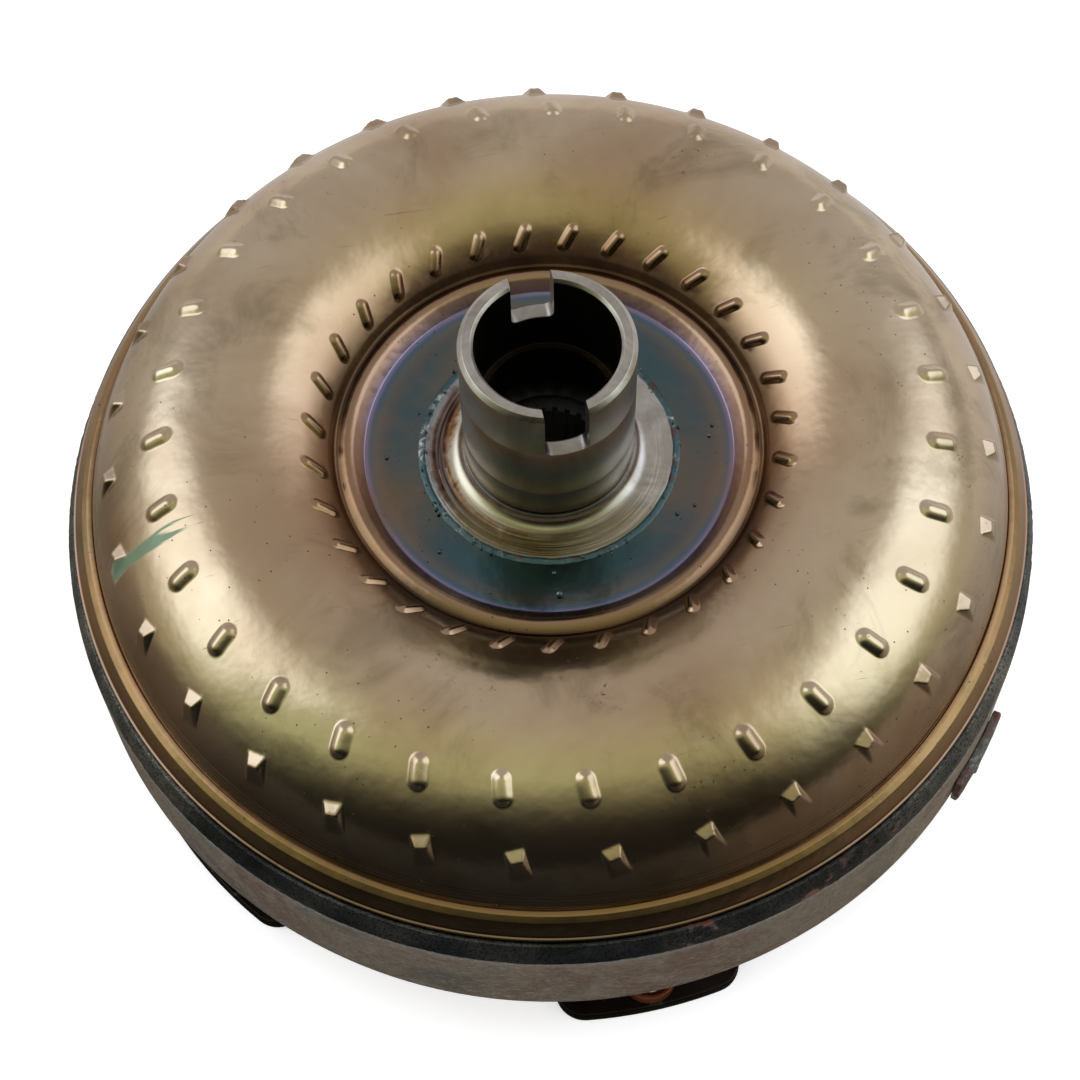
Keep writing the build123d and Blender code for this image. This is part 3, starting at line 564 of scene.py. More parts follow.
def heat_tinted_shell_with_painted_light():
    """Bronze pressed steel: tinted rings round the hub's weld, rubbed scratches, specks, one brushed mark,
    and painted light in the tints: a painted highlight at the bead's foot, painted shade outside the bead and
    in the rim's groove.
    """
    look = Look("shell_bronze", Metallic=1.0, IOR=1.5)
    wander = look.times(look.math("SUBTRACT", look.noise(9.0, 3.0), 0.5), 0.012)
    place = look.math("ADD", look.math("DIVIDE", look.radius(), TINT_REACH * MM), wander)
    # the ramp by radius paints shade and a highlight along with the tints
    base = look.ramp(place, [(r / TINT_REACH, srgb(*colour)) for r, colour in SHELL_TINTS_AND_PAINTED_LIGHT])
    cloud = look.noise(14.0, 5.0, 0.6, 0.4)
    base = look.mix(look.span(cloud, 0.36, 0.68, 0.0, 0.5), base, srgb(160, 120, 84))
    patch = look.noise(34.0, 6.0, 0.65, 0.8)
    base = look.mix(look.span(patch, 0.50, 0.70, 0.0, 0.40), base, srgb(118, 106, 80))
    scratch = rubbed_scratches(look)
    base = look.mix(look.times(scratch, 0.40), base, srgb(70, 58, 44))
    # dark specks and rust freckles, more of them in some places
    speck_area = look.span(look.noise(22.0, 3.0), 0.46, 0.60)
    speck = look.times(look.math("LESS_THAN", look.cells(330.0), 0.085), speck_area)
    base = look.mix(look.times(speck, 0.75), base, srgb(52, 40, 30))
    rust_spot = look.span(look.noise(520.0, 3.0, 0.7), 0.63, 0.70)
    rust_area = look.span(look.noise(17.0, 2.0), 0.58, 0.70)
    base = look.mix(look.times(rust_spot, rust_area), base, srgb(92, 52, 30))
    paint = brushed_mark(look)
    base = look.mix(paint, base, srgb(52, 104, 78))
    rough = look.math("ADD", look.span(cloud, 0.2, 0.8, 0.17, 0.25), look.times(scratch, 0.05))
    rough = look.math("ADD", rough, look.times(speck, 0.3))
    normal = look.bump(look.noise(70.0, 3.0, 0.5), 0.0007, 0.5)
    normal = look.bump(look.noise(1500.0, 3.0, 0.6), 0.00002, 0.5, normal)
    normal = look.bump(scratch, -0.00001, 0.3, normal)
    return look.finish(base, rough, normal, look.math("SUBTRACT", 1.0, paint))


def weld_band_look():
    """Blue-black burnt steel with a pitted skin and orange rust, most of it in one place."""
    look = Look("weld_band", IOR=1.6)
    tint = look.noise(36.0, 4.0, 0.65)
    base = look.ramp(
        tint, [(0.32, srgb(58, 58, 58)), (0.5, srgb(98, 102, 104)), (0.68, srgb(150, 148, 142))]
    )
    pits = look.noise(1500.0, 4.0, 0.75)
    base = look.mix(look.span(pits, 0.46, 0.62, 0.0, 0.85), base, srgb(36, 38, 38))
    near = look.span(look.along(facing(-64, 0)), 0.112, 0.130, 0.0, 0.09)
    rust_area = look.span(look.math("ADD", look.noise(44.0, 3.0, 0.6), near), 0.63, 0.71)
    rust = look.times(rust_area, look.span(look.noise(340.0, 4.0, 0.7), 0.40, 0.56))
    base = look.mix(rust, base, srgb(96, 40, 10))
    metallic = look.span(rust, 0.0, 1.0, 0.97, 0.0)
    rough = look.math("MAXIMUM", look.span(pits, 0.3, 0.7, 0.36, 0.6), look.times(rust, 0.95))
    return look.finish(base, rough, look.bump(pits, 0.00012, 0.6), metallic)


def cover_look():
    """Turned steel, brownish grey, with broken lathe lines, rust grain and a bright top edge."""
    look = Look("cover_wall", IOR=1.5)
    lines = look.noise(1.0, 4.0, 0.7, at=look.stretched((60, 500, 1500), at=look.turned()))
    grain = look.noise(900.0, 6.0, 0.8)
    cloud = look.noise(24.0, 5.0, 0.65, 0.5)
    base = look.ramp(
        cloud,
        [
            (0.34, srgb(114, 108, 96)), (0.46, srgb(140, 128, 110)),
            (0.56, srgb(127, 106, 90)), (0.68, srgb(150, 132, 116)),
        ],
    )
    base = look.mix(look.span(grain, 0.48, 0.58, 0.0, 0.7), base, srgb(70, 54, 46))
    base = look.mix(look.span(lines, 0.52, 0.70, 0.0, 0.6), base, srgb(176, 168, 160))
    _, _, z = look.axes()
    top = look.times(look.span(z, 0.0560, 0.0598), look.span(grain, 0.40, 0.58, 1.0, 0.2), 0.6)
    base = look.mix(top, base, srgb(150, 150, 152))
    rough = look.span(grain, 0.3, 0.7, 0.42, 0.66)
    metallic = look.span(grain, 0.45, 0.65, 0.60, 0.15)
    normal = look.bump(lines, 0.00010, 0.5)
    return look.finish(base, rough, look.bump(grain, 0.00012, 0.6, normal), metallic)


def hub_look():
    """Bright turned steel, with a straw and brown heat tint on the foot, and painted shade that makes the
    undercut and the bore black.
    """
    look = Look("hub_steel", Metallic=1.0)
    _, _, z = look.axes()
    radius = look.radius()
    turned = look.turned()
    lines = look.noise(1.0, 3.0, 0.65, at=look.stretched((2.0, 1500, 3200), at=turned))
    smear = look.noise(1.0, 4.0, 0.65, 0.6, at=look.stretched((70, 70, 26)))
    base = look.ramp(smear, [(0.32, srgb(160, 154, 146)), (0.68, srgb(206, 202, 196))])
    base = look.mix(look.span(lines, 0.5, 0.75, 0.0, 0.22), base, srgb(140, 132, 120))
    # a darker sleeve of wear below the upper turned line
    line_z = TURNED_LINES[0][0] * MM
    below_line = look.span(z, line_z - 0.0002, line_z + 0.0002, 1.0, 0.0)
    worn = look.times(below_line, look.span(z, 0.0945, 0.1040), 0.35)
    base = look.mix(worn, base, srgb(118, 112, 102))
    # heat tints on the foot's left: straw, then brown, then purple towards the weld
    foot = look.span(z, 0.0900, 0.0916, 1.0, 0.0)
    foot_rings = look.noise(1.0, 3.0, 0.6, at=look.stretched((0.8, 1100, 100), at=turned))
    patchy = look.noise(130.0, 4.0, 0.65, 0.5)
    drift = look.times(look.math("SUBTRACT", patchy, 0.5), 0.006)
    tint = look.ramp(
        look.span(look.math("ADD", radius, drift), 0.0225, 0.0335, ease="LINEAR"),
        [
            (0.30, srgb(206, 198, 178)), (0.40, srgb(158, 112, 66)), (0.50, srgb(72, 40, 26)),
            (0.66, srgb(58, 34, 32)), (0.76, srgb(104, 80, 68)), (0.88, srgb(150, 154, 158)),
        ],
    )
    burnt = look.times(
        look.span(look.along(facing(-152, 0)), 0.004, 0.017),
        foot,
        look.span(patchy, 0.20, 0.42, 0.35, 1.0),
        look.span(foot_rings, 0.30, 0.55, 0.6, 1.0),
    )
    base = look.mix(burnt, base, tint)
    # straw in front
    straw = look.times(
        look.span(look.along(facing(-90, 0)), 0.010, 0.024),
        foot,
        look.span(foot_rings, 0.34, 0.60, 0.25, 0.8),
    )
    base = look.mix(straw, base, srgb(128, 114, 76))
    # the undercut and the bore are painted black as shade, and the tube between is a little dull
    low_z, high_z = UNDERCUT_LOW * MM, UNDERCUT_HIGH * MM
    undercut = look.times(
        look.span(z, low_z - 0.00045, low_z - 0.0002),
        look.span(z, high_z, high_z + 0.0002, 1.0, 0.0),
        0.92,
    )
    base = look.mix(undercut, base, srgb(14, 11, 8))
    bore = look.times(look.span(radius, 0.0183, 0.0186, 1.0, 0.0), look.span(z, 0.1388, 0.1395, 1.0, 0.0))
    base = look.mix(bore, base, srgb(10, 10, 10))
    tube = look.times(look.span(z, 0.0935, 0.0945), look.span(z, 0.1388, 0.1396, 1.0, 0.0))
    base = look.mix(look.times(tube, 0.35), base, srgb(112, 104, 94))
    rough = look.span(smear, 0.3, 0.7, 0.19, 0.27)
    rough = look.math("ADD", rough, look.times(look.math("MAXIMUM", tube, bore), 0.10))
    rings = look.times(foot_rings, look.span(radius, 0.0262, 0.0275))
    normal = look.bump(lines, 0.000012, 0.5)
    return look.finish(base, rough, look.bump(rings, 0.00020, 0.7, normal))


def bead_look():
    """Smeared weld metal, teal grey like the heat tint round it, with silvery crumbs and a little rust."""
    look = Look("weld_bead", IOR=1.5)
    fine = look.noise(420.0, 4.0, 0.7, 0.5)
    base = look.ramp(
        fine, [(0.35, srgb(60, 74, 78)), (0.58, srgb(96, 110, 114)), (0.68, srgb(214, 216, 210))]
    )
    shade = look.noise(55.0, 3.0, 0.6)
    base = look.mix(look.span(shade, 0.36, 0.54, 0.0, 0.9), base, srgb(72, 96, 102))
    rust = look.span(look.noise(150.0, 3.0), 0.60, 0.68, 0.0, 0.7)
    base = look.mix(rust, base, srgb(96, 60, 46))
    return look.finish(base, look.span(fine, 0.3, 0.7, 0.28, 0.46), look.bump(fine, 0.0002, 0.6), 0.9)


def dark_steel_look(name, low, high, wear, metallic=0.8, rough=(0.32, 0.5)):
    """Oxidised or oily steel: two tones in clouds, worn spots, a fine grain."""
    look = Look(name, Metallic=metallic, IOR=1.5)
    cloud = look.noise(60.0, 5.0, 0.6, 0.3)
    grain = look.noise(1400.0, 3.0, 0.65)
    base = look.ramp(cloud, [(0.32, srgb(*low)), (0.68, srgb(*high))])
    worn = look.times(look.span(look.noise(150.0, 4.0, 0.7), 0.60, 0.72), 0.5)
    base = look.mix(worn, base, srgb(*wear))
    base = look.mix(look.span(grain, 0.5, 0.7, 0.0, 0.35), base, srgb(*[c // 2 for c in low]))
    return look.finish(base, look.span(cloud, 0.3, 0.7, *rough), look.bump(grain, 0.0001, 0.5))


def weight_look():
    """Bare steel in patches of grey and reddish rust."""
    look = Look("weight_steel", Metallic=0.7, IOR=1.5)
    cloud = look.noise(150.0, 5.0, 0.7, 0.6)
    base = look.ramp(
        cloud,
        [
            (0.30, srgb(64, 44, 42)), (0.42, srgb(112, 74, 66)), (0.52, srgb(104, 112, 110)),
            (0.62, srgb(158, 156, 150)), (0.72, srgb(96, 60, 56)),
        ],
    )
    grain = look.noise(1500.0, 3.0, 0.7)
    base = look.mix(look.span(grain, 0.5, 0.65, 0.0, 0.6), base, srgb(46, 34, 34))
    return look.finish(base, look.span(grain, 0.3, 0.7, 0.4, 0.6), look.bump(grain, 0.0002, 0.6))


# ======================= the shell's skin and its pressed bumps =======================

def blade_deg(radius):
    """Plan angle of the first blade at a radius, from a lean that grows evenly outward."""
    base = BLADE_LEAN_IN - BLADE_LEAN_RATE * BLADE_IN_R
    turn = base * math.log(radius / BLADE_IN_R) + BLADE_LEAN_RATE * (radius - BLADE_IN_R)
    return BLADE_IN_DEG + math.degrees(turn)


def section_deg(radius):
    """Angle round the flow section at which the shell's outside has a radius."""
    return math.degrees(math.acos((radius - TORUS_R) / SHELL_OUT))


def on_section(degrees, reach=SHELL_OUT):
    """Radius and height of the point of the flow section at an angle and a distance from its middle."""
    c, s = unit(degrees)
    return TORUS_R + reach * c, TORUS_Z + reach * s


PILL_POWER = 1.3
WEDGE_RIDGE, WEDGE_SIDE = -0.17, 1.2


def pill(u, v, length, width, height):
    """Height of a pressed oblong bump with a rounded back and a soft foot."""
    over = np.maximum(np.abs(u) - (length - width) / 2, 0)
    share = np.hypot(over, v) / (width / 2)
    return height * np.clip(1 - share**2, 0, 1) ** PILL_POWER


def wedge(u, v, length, width, height):
    """Height of a pressed wedge: a short face up to a ridge, a long one falling away, steep sides."""
    ridge = WEDGE_RIDGE * length
    rise = (u + length / 2) / (length / 2 + ridge)
    fall = (length / 2 - u) / (length / 2 - ridge)
    side = (width / 2 - np.abs(v)) / WEDGE_SIDE
    return height * np.clip(np.minimum(np.minimum(rise, fall), side), 0, 1)


# Each ring of bumps: plan radius, then the shape's length along the blade line, width and height.
BUMPS = [
    (61.3, pill, (8.2, 3.6, 0.95)),
    (101.5, pill, (9.4, 5.2, 1.25)),
    (116.1, wedge, (8.8, 5.2, 1.75)),
]

# The skin's columns follow the blade lines, close together on the bumps and far apart between them.
PITCH = 360 / BLADES
DENSE_HALF, DENSE_COLUMNS, COARSE_COLUMNS = 2.05, 20, 3
dense = np.linspace(-DENSE_HALF, DENSE_HALF, DENSE_COLUMNS + 1)
coarse = np.linspace(DENSE_HALF, PITCH - DENSE_HALF, COARSE_COLUMNS + 1)[1:-1]
offsets_deg = np.concatenate([dense, coarse])
column_deg = (np.arange(BLADES)[:, None] * PITCH + offsets_deg).ravel()
from_blade_deg = np.tile((offsets_deg + PITCH / 2) % PITCH - PITCH / 2, BLADES)

# Its rows, as steps in degrees round the flow section: at the bead, at the bumps, and after each ring of
# them. The close rows reach past a bump by a margin in mm.
ROW_AT_BEAD, ROW_AT_BUMP, ROWS_AFTER = 1.7, 0.74, (3.4, 1.8, 1.8)
BUMP_MARGIN = 0.7
# The dome ends at a section angle, its inside ends at a radius, and the columns run straight within one.
SEAM_DEG, INSIDE_END_R, STRAIGHT_R = 21.6, 56.0, 50.0


def dome_rows():
    """Section angles of the dome's rows, from the bead out to the seam with the rim."""
    stops = [(section_deg(BEAD_END_R), ROW_AT_BEAD)]
    for (r, _, size), step_after in zip(BUMPS, ROWS_AFTER):
        reach = math.degrees((size[0] / 2 + BUMP_MARGIN) / SHELL_OUT)
        stops += [(section_deg(r) + reach, ROW_AT_BUMP), (section_deg(r) - reach, step_after)]
    stops.append((SEAM_DEG, None))
    found = []
    for (start, step), (end, _) in zip(stops, stops[1:]):
        found += list(np.linspace(start, end, math.ceil((start - end) / step) + 1)[:-1])
    return found + [SEAM_DEG]


def skin_rows():
    """The skin's rows as (radius, height, section angle): flange, bead, dome, then back inside it."""
    slope = (COLLAR_Z - FLANGE_TOP) / (COLLAR_R - FOOT_R)
    flange_r = np.linspace(FOOT_R + 0.05, COLLAR_R - 2.5, 7)
    flange = [(r, FLANGE_TOP + slope * (r - FOOT_R)) for r in flange_r]
    bead = rounded(
        [
            (COLLAR_R - 2.0, COLLAR_Z - 0.1, 0), (COLLAR_R, COLLAR_Z - 0.1, 0.9),
            (BEAD_R - 0.1, BEAD_Z + 0.4, 2.6), (BEAD_OUT_R + 0.3, BEAD_Z - 1.5, 1.1),
            (*on_section(section_deg(BEAD_END_R)), 0),
        ],
        closed=False, steps=5,
    )[:-1]
    inner_end = math.degrees(math.acos((INSIDE_END_R - TORUS_R) / SHELL_IN))
    inside = [on_section(degrees, SHELL_IN) for degrees in np.linspace(SEAM_DEG - 1, inner_end, 11)]
    inside += [(STRAIGHT_R, 87.3), (FOOT_R + 0.05, FLANGE_UNDER)]
    rows = [(r, z, None) for r, z in flange + bead]
    rows += [(*on_section(degrees), degrees) for degrees in dome_rows()]
    return rows + [(r, z, None) for r, z in inside]


def bump_height(r, degrees):
    """How far the bumps stand out at each column of the dome's row at a section angle, in mm."""
    lean = math.atan((BLADE_LEAN_IN + BLADE_LEAN_RATE * (r - BLADE_IN_R)) * unit(degrees)[1])
    beside = np.radians(from_blade_deg) * r
    height = np.zeros_like(beside)
    for bump_r, shape, size in BUMPS:
        down = math.radians(section_deg(bump_r) - degrees) * SHELL_OUT
        if abs(down) < size[0]:
            along = down / math.cos(lean) + beside * math.sin(lean)
            height += shape(along, beside * math.cos(lean), *size)
    return height


def skin_ring(r, z, degrees):
    """One ring of the skin's vertices in metres."""
    angle = np.radians(column_deg + blade_deg(min(max(r, STRAIGHT_R), GROOVE_R)))
    c, s, height = 0.0, 0.0, np.zeros_like(angle)
    if degrees is not None:
        c, s = unit(degrees)
        height = bump_height(r, degrees)
    reach = (r + height * c) * MM
    return np.stack([reach * np.cos(angle), reach * np.sin(angle), (z + height * s) * MM], -1)


shell_look = heat_tinted_shell_with_painted_light()
skin = [skin_ring(*row) for row in skin_rows()]
skin_faces = flipped(grid_faces(len(skin), len(column_deg), True))
add_piece(
    "shell_skin", np.vstack(skin), skin_faces, shell_look,
    stands_for=("impeller_shell",), crease=70,
)

# ======================= the shell's rim, the weld band and the cover =======================

# The turned rim: fine lathe lines, the groove, a shoulder, a round fall to a lip, and the spigot.
# Each lathe line is a section angle in degrees with a depth in mm.
LATHE_LINES, LATHE_LINE_DEG = [(21.1, 0.13), (18.8, 0.12), (16.6, 0.16)], 0.38
rim_outline = []
for degrees in np.linspace(SEAM_DEG, section_deg(GROOVE_R), 32):
    cut = sum(depth * math.exp(-(((degrees - at) / LATHE_LINE_DEG) ** 2)) for at, depth in LATHE_LINES)
    rim_outline.append(on_section(degrees, SHELL_OUT - cut))
rim_outline += rounded(
    [
        (GROOVE_R - 0.3, 76.2, 0), (GROOVE_R - 0.3, GROOVE_FLOOR, 0.2), (GROOVE_R + 0.2, GROOVE_FLOOR, 0.3),
        (GROOVE_R + 0.45, 75.45, 0.25), (123.9, 75.1, 0.5), (125.4, 74.1, 1.2), (127.55, 71.2, 1.6),
        (127.75, 70.3, 0.1), (LIP_R, 70.15, 0.15), (LIP_R, 69.3, 0.15), (127.8, 69.0, 0.1), (127.9, 66.9, 0),
        (SPIGOT_R, COVER_TOP + 0.05, 0), (SPIGOT_R, SPIGOT_LOW, 0.3), (GROOVE_R - 1.0, SPIGOT_LOW, 0.3),
        (*on_section(SEAM_DEG - 1, SHELL_IN), 0),
    ],
    closed=False,
)
v, f = lathe(rim_outline, 720)
add_piece(
    "shell_rim", v, flipped(f), shell_look, stands_for=("impeller_shell",), crease=26
)

# the weld band between shell and cover
BAND_LOW = 60.1
band = rounded(
    [
        (SPIGOT_R + 0.05, BAND_LOW, 0), (COVER_R - 0.1, BAND_LOW, 0), (130.9, 63.2, 3.0),
        (129.5, 66.4, 1.2), (129.0, 67.3, 0.15), (BAND_R, 67.25, 0.1), (127.95, 66.9, 0),
    ],
    steps=5,
)
v, f = lathe(band, 900)
add_piece(
    "weld_band", roughened(v, 0.14, 0.9, 3.0), flipped(f), weld_band_look(),
    stands_for=("rim_weld",), crease=60,
)

# the cover: a turned drum with a rounded corner, a flat clutch face and a raised middle
WALL, CORNER_R = 4.0, 22.0
FACE_IN, MIDDLE_LOW, MIDDLE_HIGH = 14.0, 16.0, 20.0
cover = rounded(
    [
        (0, MIDDLE_LOW, 0), (56.0, MIDDLE_LOW, 2.0), (62.0, COVER_FACE, 2.0), (COVER_R, COVER_FACE, CORNER_R),
        (COVER_R, COVER_TOP, 0.35), (COVER_R - WALL, COVER_TOP, 0.3),
        (COVER_R - WALL, FACE_IN, CORNER_R - WALL), (63.5, FACE_IN, 1.5),
        (57.5, MIDDLE_HIGH, 1.5), (0, MIDDLE_HIGH, 0),
    ],
    closed=False, steps=10,
)
v, f = lathe(cover, 720, closed=False)
add_piece("cover_drum", v, flipped(f), cover_look(), stands_for=("front_cover",))

# ======================= the pump hub, its weld and the spatter =======================

hub_corners = [
    (BUSH_SEAT_R, FLANGE_UNDER, 0), (BUSH_SEAT_R, BUSH_HIGH, 0), (HUB_BORE_R, BUSH_HIGH, 0),
    (HUB_BORE_R, HUB_TOP - RIM_CHAMFER_IN, 0.2), (HUB_BORE_R + RIM_CHAMFER_IN, HUB_TOP, 0.2),
    (HUB_R - RIM_CHAMFER_OUT, HUB_TOP, 0.25), (HUB_R, HUB_TOP - RIM_CHAMFER_OUT, 0.3),
]
for height, half, depth in TURNED_LINES:
    hub_corners += [(HUB_R, height + half, 0), (HUB_R - depth, height, 0), (HUB_R, height - half, 0)]
hub_corners += [
    (HUB_R, UNDERCUT_HIGH + 0.2, 0.12), (HUB_R - UNDERCUT_DEPTH, UNDERCUT_HIGH, 0.1),
    (HUB_R - UNDERCUT_DEPTH, UNDERCUT_LOW, 0.1), (HUB_R + 0.1, UNDERCUT_LOW - 0.3, 0.15),
    (HUB_R + 1.3, 89.75, 4.0), (FOOT_R - 2.0, 89.15, 2.0), (FOOT_R, 88.95, 0.2), (FOOT_R, FLANGE_UNDER, 0),
]
HUB_CREASE = 30
v, f = lathe(rounded(hub_corners, steps=6), 256)
hub = add_piece(
    "hub_body", v, f, hub_look(), stands_for=("impeller_hub",), crease=HUB_CREASE
)

# its two drive slots are cut by one bar, longer and higher than the hub, and their edges are softened
BAR_HALF, BAR_TOP = 30.0, 150.0
slot_loop = rounded(
    [
        (-SLOT_W / 2, BAR_TOP, 0), (SLOT_W / 2, BAR_TOP, 0),
        (SLOT_W / 2, SLOT_FLOOR, SLOT_ROUND), (-SLOT_W / 2, SLOT_FLOOR, SLOT_ROUND),
    ],
    steps=5,
)
bar = [(x * MM, end * BAR_HALF * MM, z * MM) for end in (-1, 1) for x, z in slot_loop]
cutter_mesh = bpy.data.meshes.new("slot_cutter")
cutter_mesh.from_pydata(bar, [], tube_faces(len(slot_loop), 2))
cutter = bpy.data.objects.new("slot_cutter", cutter_mesh)
bpy.context.scene.collection.objects.link(cutter)
cut = hub.modifiers.new("slots", "BOOLEAN")
cut.object = cutter
cut.operation = "DIFFERENCE"
cut.solver = "EXACT"
soften = hub.modifiers.new("edges", "BEVEL")
soften.width = 0.28 * MM
soften.segments = 3
soften.limit_method = "ANGLE"
soften.angle_limit = math.radians(50)
soften.harden_normals = False
bpy.context.view_layer.update()
depsgraph = bpy.context.evaluated_depsgraph_get()
cut_mesh = bpy.data.meshes.new_from_object(hub.evaluated_get(depsgraph))
hub.modifiers.clear()
hub.data = cut_mesh
hub.data.shade_smooth()
hub.data.set_sharp_from_angle(angle=math.radians(HUB_CREASE))
bpy.data.objects.remove(cutter)

# the weld ring at the hub's foot, uneven, with crumbs of spatter on and near it
bead = rounded(
    [(32.4, FLANGE_TOP - 0.2, 0), (32.5, 89.0, 0.2), (33.2, 89.2, 0.6), (34.1, 89.0, 0.4), (34.6, 88.75, 0)]
)
v, f = lathe(bead, 480)
weld_look = bead_look()
add_piece(
    "hub_bead", roughened(v, 0.18, 0.22, 7.0), f, weld_look, stands_for=("hub_weld",), crease=80
)

DROP_RINGS, DROP_AROUND, DROP_FLAT = 6, 10, 0.75


def drop(radius, degrees, height, size):
    """A small flattened ball of spatter, resting at a plan radius and angle."""
    c, s = unit(degrees)
    points = []
    for i in range(DROP_RINGS + 1):
        tilt = math.pi * i / DROP_RINGS
        lift = size * DROP_FLAT * (0.6 - math.cos(tilt))
        ring = arc_points((radius * c, radius * s), size * math.sin(tilt), 0, 360, DROP_AROUND)[:-1]
        points += [(x, y, height + lift) for x, y in ring]
    return np.array(points) * MM, flipped(grid_faces(DROP_RINGS + 1, DROP_AROUND, False))


# The large drops on the tinted ring as (radius, degrees, size), and how the crumbs gather at the weld.
LARGE_DROPS = [
    (42.7, 171.4, 0.55), (41.7, -145.1, 0.6), (43.4, -99.1, 0.95), (38.7, -43.6, 0.55), (41.6, -37.5, 0.5),
    (37.0, -100.7, 0.6), (43.5, -4.2, 0.5), (42.3, -8.3, 0.5), (36.2, 150.0, 0.4), (40.1, 62.0, 0.5),
    (44.6, 110.0, 0.4), (38.8, -70.0, 0.35), (45.2, -122.0, 0.35),
]
CRUMBS, CRUMB_R, CRUMB_SPREAD, CRUMB_Z = 90, 33.6, 0.8, 89.35
RING_SLOPE = 0.06
rng = np.random.default_rng(11)
drops = [drop(r, d, FLANGE_TOP + RING_SLOPE * (r - FOOT_R), size) for r, d, size in LARGE_DROPS]
for _ in range(CRUMBS):
    r = CRUMB_R + rng.normal() * CRUMB_SPREAD
    drops.append(drop(r, rng.uniform(-180, 180), CRUMB_Z, abs(rng.normal()) * 0.16 + 0.12))
v, f = joined(drops)
add_piece("spatter", v, f, weld_look, crease=80)

# ======================= drive lugs, nuts and the balance weight =======================

# drive lugs: plates on welded pads, with a round nut in each
PAD_IN_R, PAD_OUT_R, PAD_W, LUG_W, LUG_T = 88.0, 108.5, 40.0, 51.0, 4.5
NUT_R, NUT_THREAD_R = 7.5, 5.0


def lug_outline(r_in, r_out, width, corner):
    """A plate's plan: straight inner edge, outer edge on a circle about the axis, all corners rounded."""
    aside = width / 2 - corner
    middle = math.degrees(math.asin(aside / (r_out - corner)))
    upper = arc_points((r_in + corner, aside), corner, 180, 90, 8)
    upper += arc_points(((r_out - corner) * unit(middle)[0], aside), corner, 90, middle, 8)
    outer = arc_points((0, 0), r_out, middle, -middle, 24)[1:-1]
    return upper + outer + [(x, -y) for x, y in upper[::-1]]


bolt_hole = arc_points((LUG_PCD_R, 0), LUG_HOLE_R, 0, 360, 48)[:-1]
lug = joined([
    plate([lug_outline(PAD_IN_R, LUG_R, LUG_W, 8.0), bolt_hole], 0, LUG_T, 0.5),
    plate([lug_outline(PAD_IN_R, PAD_OUT_R, PAD_W, 4.0)], LUG_T - 0.3, COVER_FACE, 0.3),
])
lug_turns = [-90 + k * 360 / LUGS for k in range(LUGS)]
v, f = repeated(*lug, lug_turns)
lug_look = dark_steel_look("lug_black", (26, 20, 18), (46, 38, 34), (120, 112, 104), rough=(0.22, 0.4))
add_piece("lug_plates", v, f, lug_look, stands_for=("drive_lugs",), crease=25)

nut = rounded(
    [
        (NUT_THREAD_R, LUG_T, 0), (NUT_R, LUG_T, 0), (NUT_R, NUT_TOP, 0.4),
        (NUT_R - 1.1, NUT_TOP, 0.3), (NUT_THREAD_R, NUT_TOP - 1.3, 0),
    ],
    steps=3,
)
v, f = lathe(nut, 48)
v, f = repeated(v + np.array([LUG_PCD_R * MM, 0, 0]), f, lug_turns)
nut_look = dark_steel_look("nut_copper", (120, 66, 44), (168, 98, 66), (60, 40, 32), rough=(0.3, 0.5))
add_piece("weld_nuts", v, f, nut_look, stands_for=("lug_nuts",))

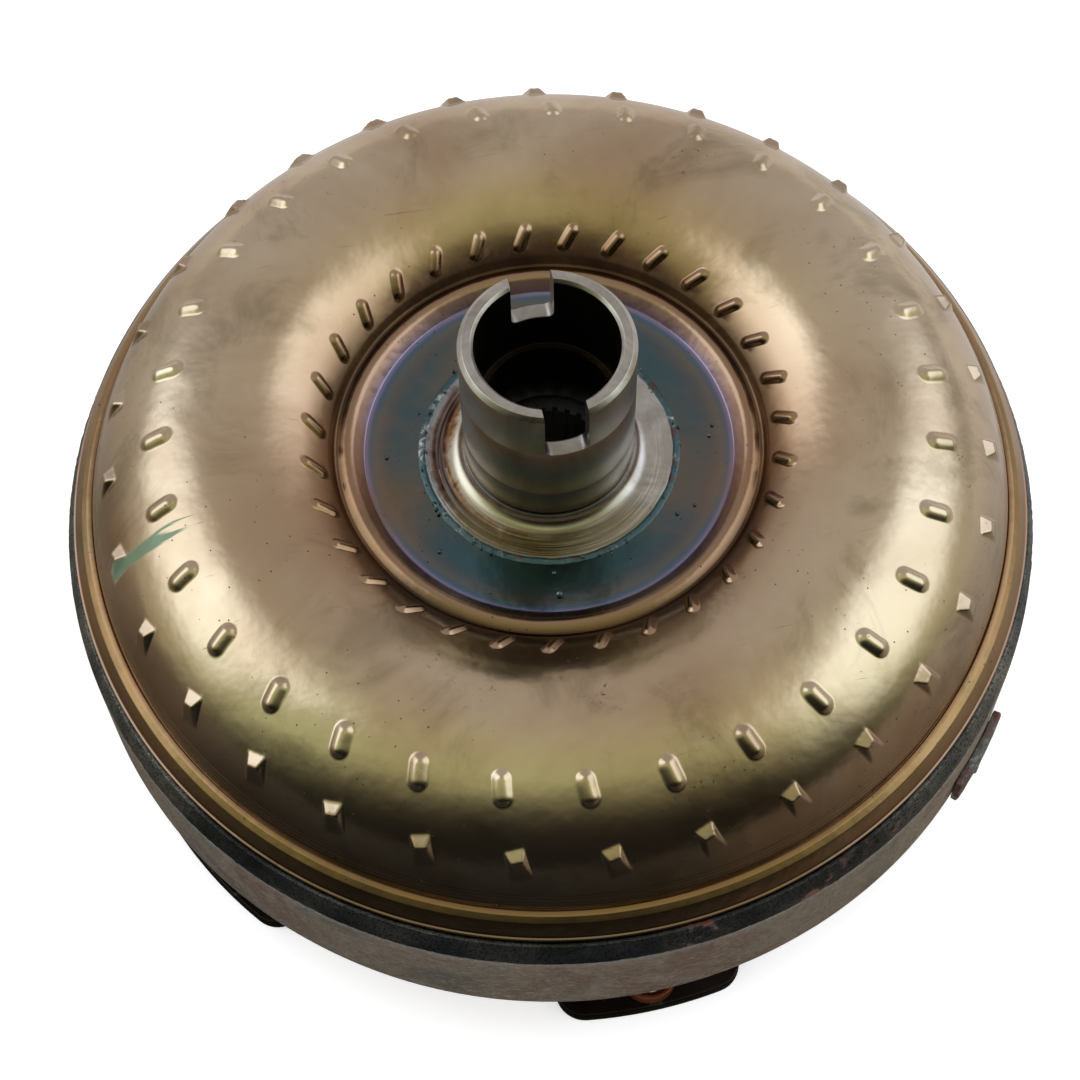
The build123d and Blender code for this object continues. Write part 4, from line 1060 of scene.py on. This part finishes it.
# the balance weight on the drum's side: a bent plate with pinched ends, a low nub and a step beside it
WEIGHT_DEG, WEIGHT_SPAN, WEIGHT_STEPS = -42.6, 10.5, 60
WEIGHT_LOW, WEIGHT_HIGH, WEIGHT_T, WEIGHT_GAP = 31.0, 42.0, 2.5, 0.12
section = rounded(
    [
        (COVER_R + WEIGHT_GAP, WEIGHT_LOW, 0.3), (COVER_R + WEIGHT_T, WEIGHT_LOW, 0.6),
        (COVER_R + WEIGHT_T, WEIGHT_HIGH, 0.6), (COVER_R + WEIGHT_GAP, WEIGHT_HIGH, 0.3),
    ],
    steps=3,
)
middle_r, middle_z = COVER_R + WEIGHT_T / 2, (WEIGHT_LOW + WEIGHT_HIGH) / 2
points = []
for share in np.linspace(0, 1, WEIGHT_STEPS + 1):
    c, s = unit(WEIGHT_DEG - WEIGHT_SPAN / 2 + WEIGHT_SPAN * share)
    pinch = 1 - 0.25 * math.exp(-min(share, 1 - share) * 90)
    nub = 0.35 * math.exp(-(((share - 0.42) / 0.03) ** 2)) - 0.25 * (share < 0.4)
    for r, z in section:
        r_here = middle_r + (r - middle_r) * pinch + (nub if r > middle_r else 0)
        z_here = middle_z + (z - middle_z) * (1 - 0.06 * (1 - pinch))
        points.append((r_here * c * MM, r_here * s * MM, z_here * MM))
add_piece(
    "balance_plate", roughened(points, 0.10, 0.4, 5.0), tube_faces(len(section), WEIGHT_STEPS + 1),
    weight_look(), stands_for=("balance_weight",), crease=50,
)

# ======================= looks of the rest =======================

# The CAD nodes that stay: dark, light and worn tone of each material slot.
INNER_LOOKS = {
    "plate_steel": ((96, 94, 92), (132, 130, 126), (170, 168, 164)),
    "blade_steel": ((112, 110, 106), (150, 148, 144), (184, 180, 174)),
    "race_steel": ((150, 150, 152), (186, 186, 188), (214, 214, 214)),
    "cage_steel": ((104, 100, 92), (140, 134, 122), (180, 172, 158)),
    "spring_steel": ((44, 44, 48), (76, 76, 80), (128, 126, 124)),
    "stator_alloy": ((176, 176, 174), (208, 208, 206), (228, 228, 226)),
    # the bronze tones are darkened nearly black: painted shade on the bushing deep in the hub's bore
    "bronze": ((38, 27, 17), (58, 42, 26), (90, 68, 42)),
    "lining": ((70, 48, 30), (100, 70, 42), (128, 94, 60)),
    "seal": ((24, 22, 20), (38, 34, 30), (60, 54, 48)),
    "hub_steel": ((150, 146, 140), (190, 186, 180), (214, 210, 204)),
    "weld_steel": ((52, 56, 62), (92, 98, 104), (150, 150, 146)),
}
NOT_METAL = ("lining", "seal")
made = {}
node_slot = {part["node"]: part["material_slot"] for part in frame["record"]["subparts"]}
for name, piece in frame["nodes"].items():
    if piece.hide_render:
        continue
    slot = node_slot[name]
    if slot not in made:
        metallic = 0.0 if slot in NOT_METAL else 0.9
        made[slot] = dark_steel_look("inner_" + slot, *INNER_LOOKS[slot], metallic, (0.25, 0.42))
    piece.data.materials.clear()
    piece.data.materials.append(made[slot])
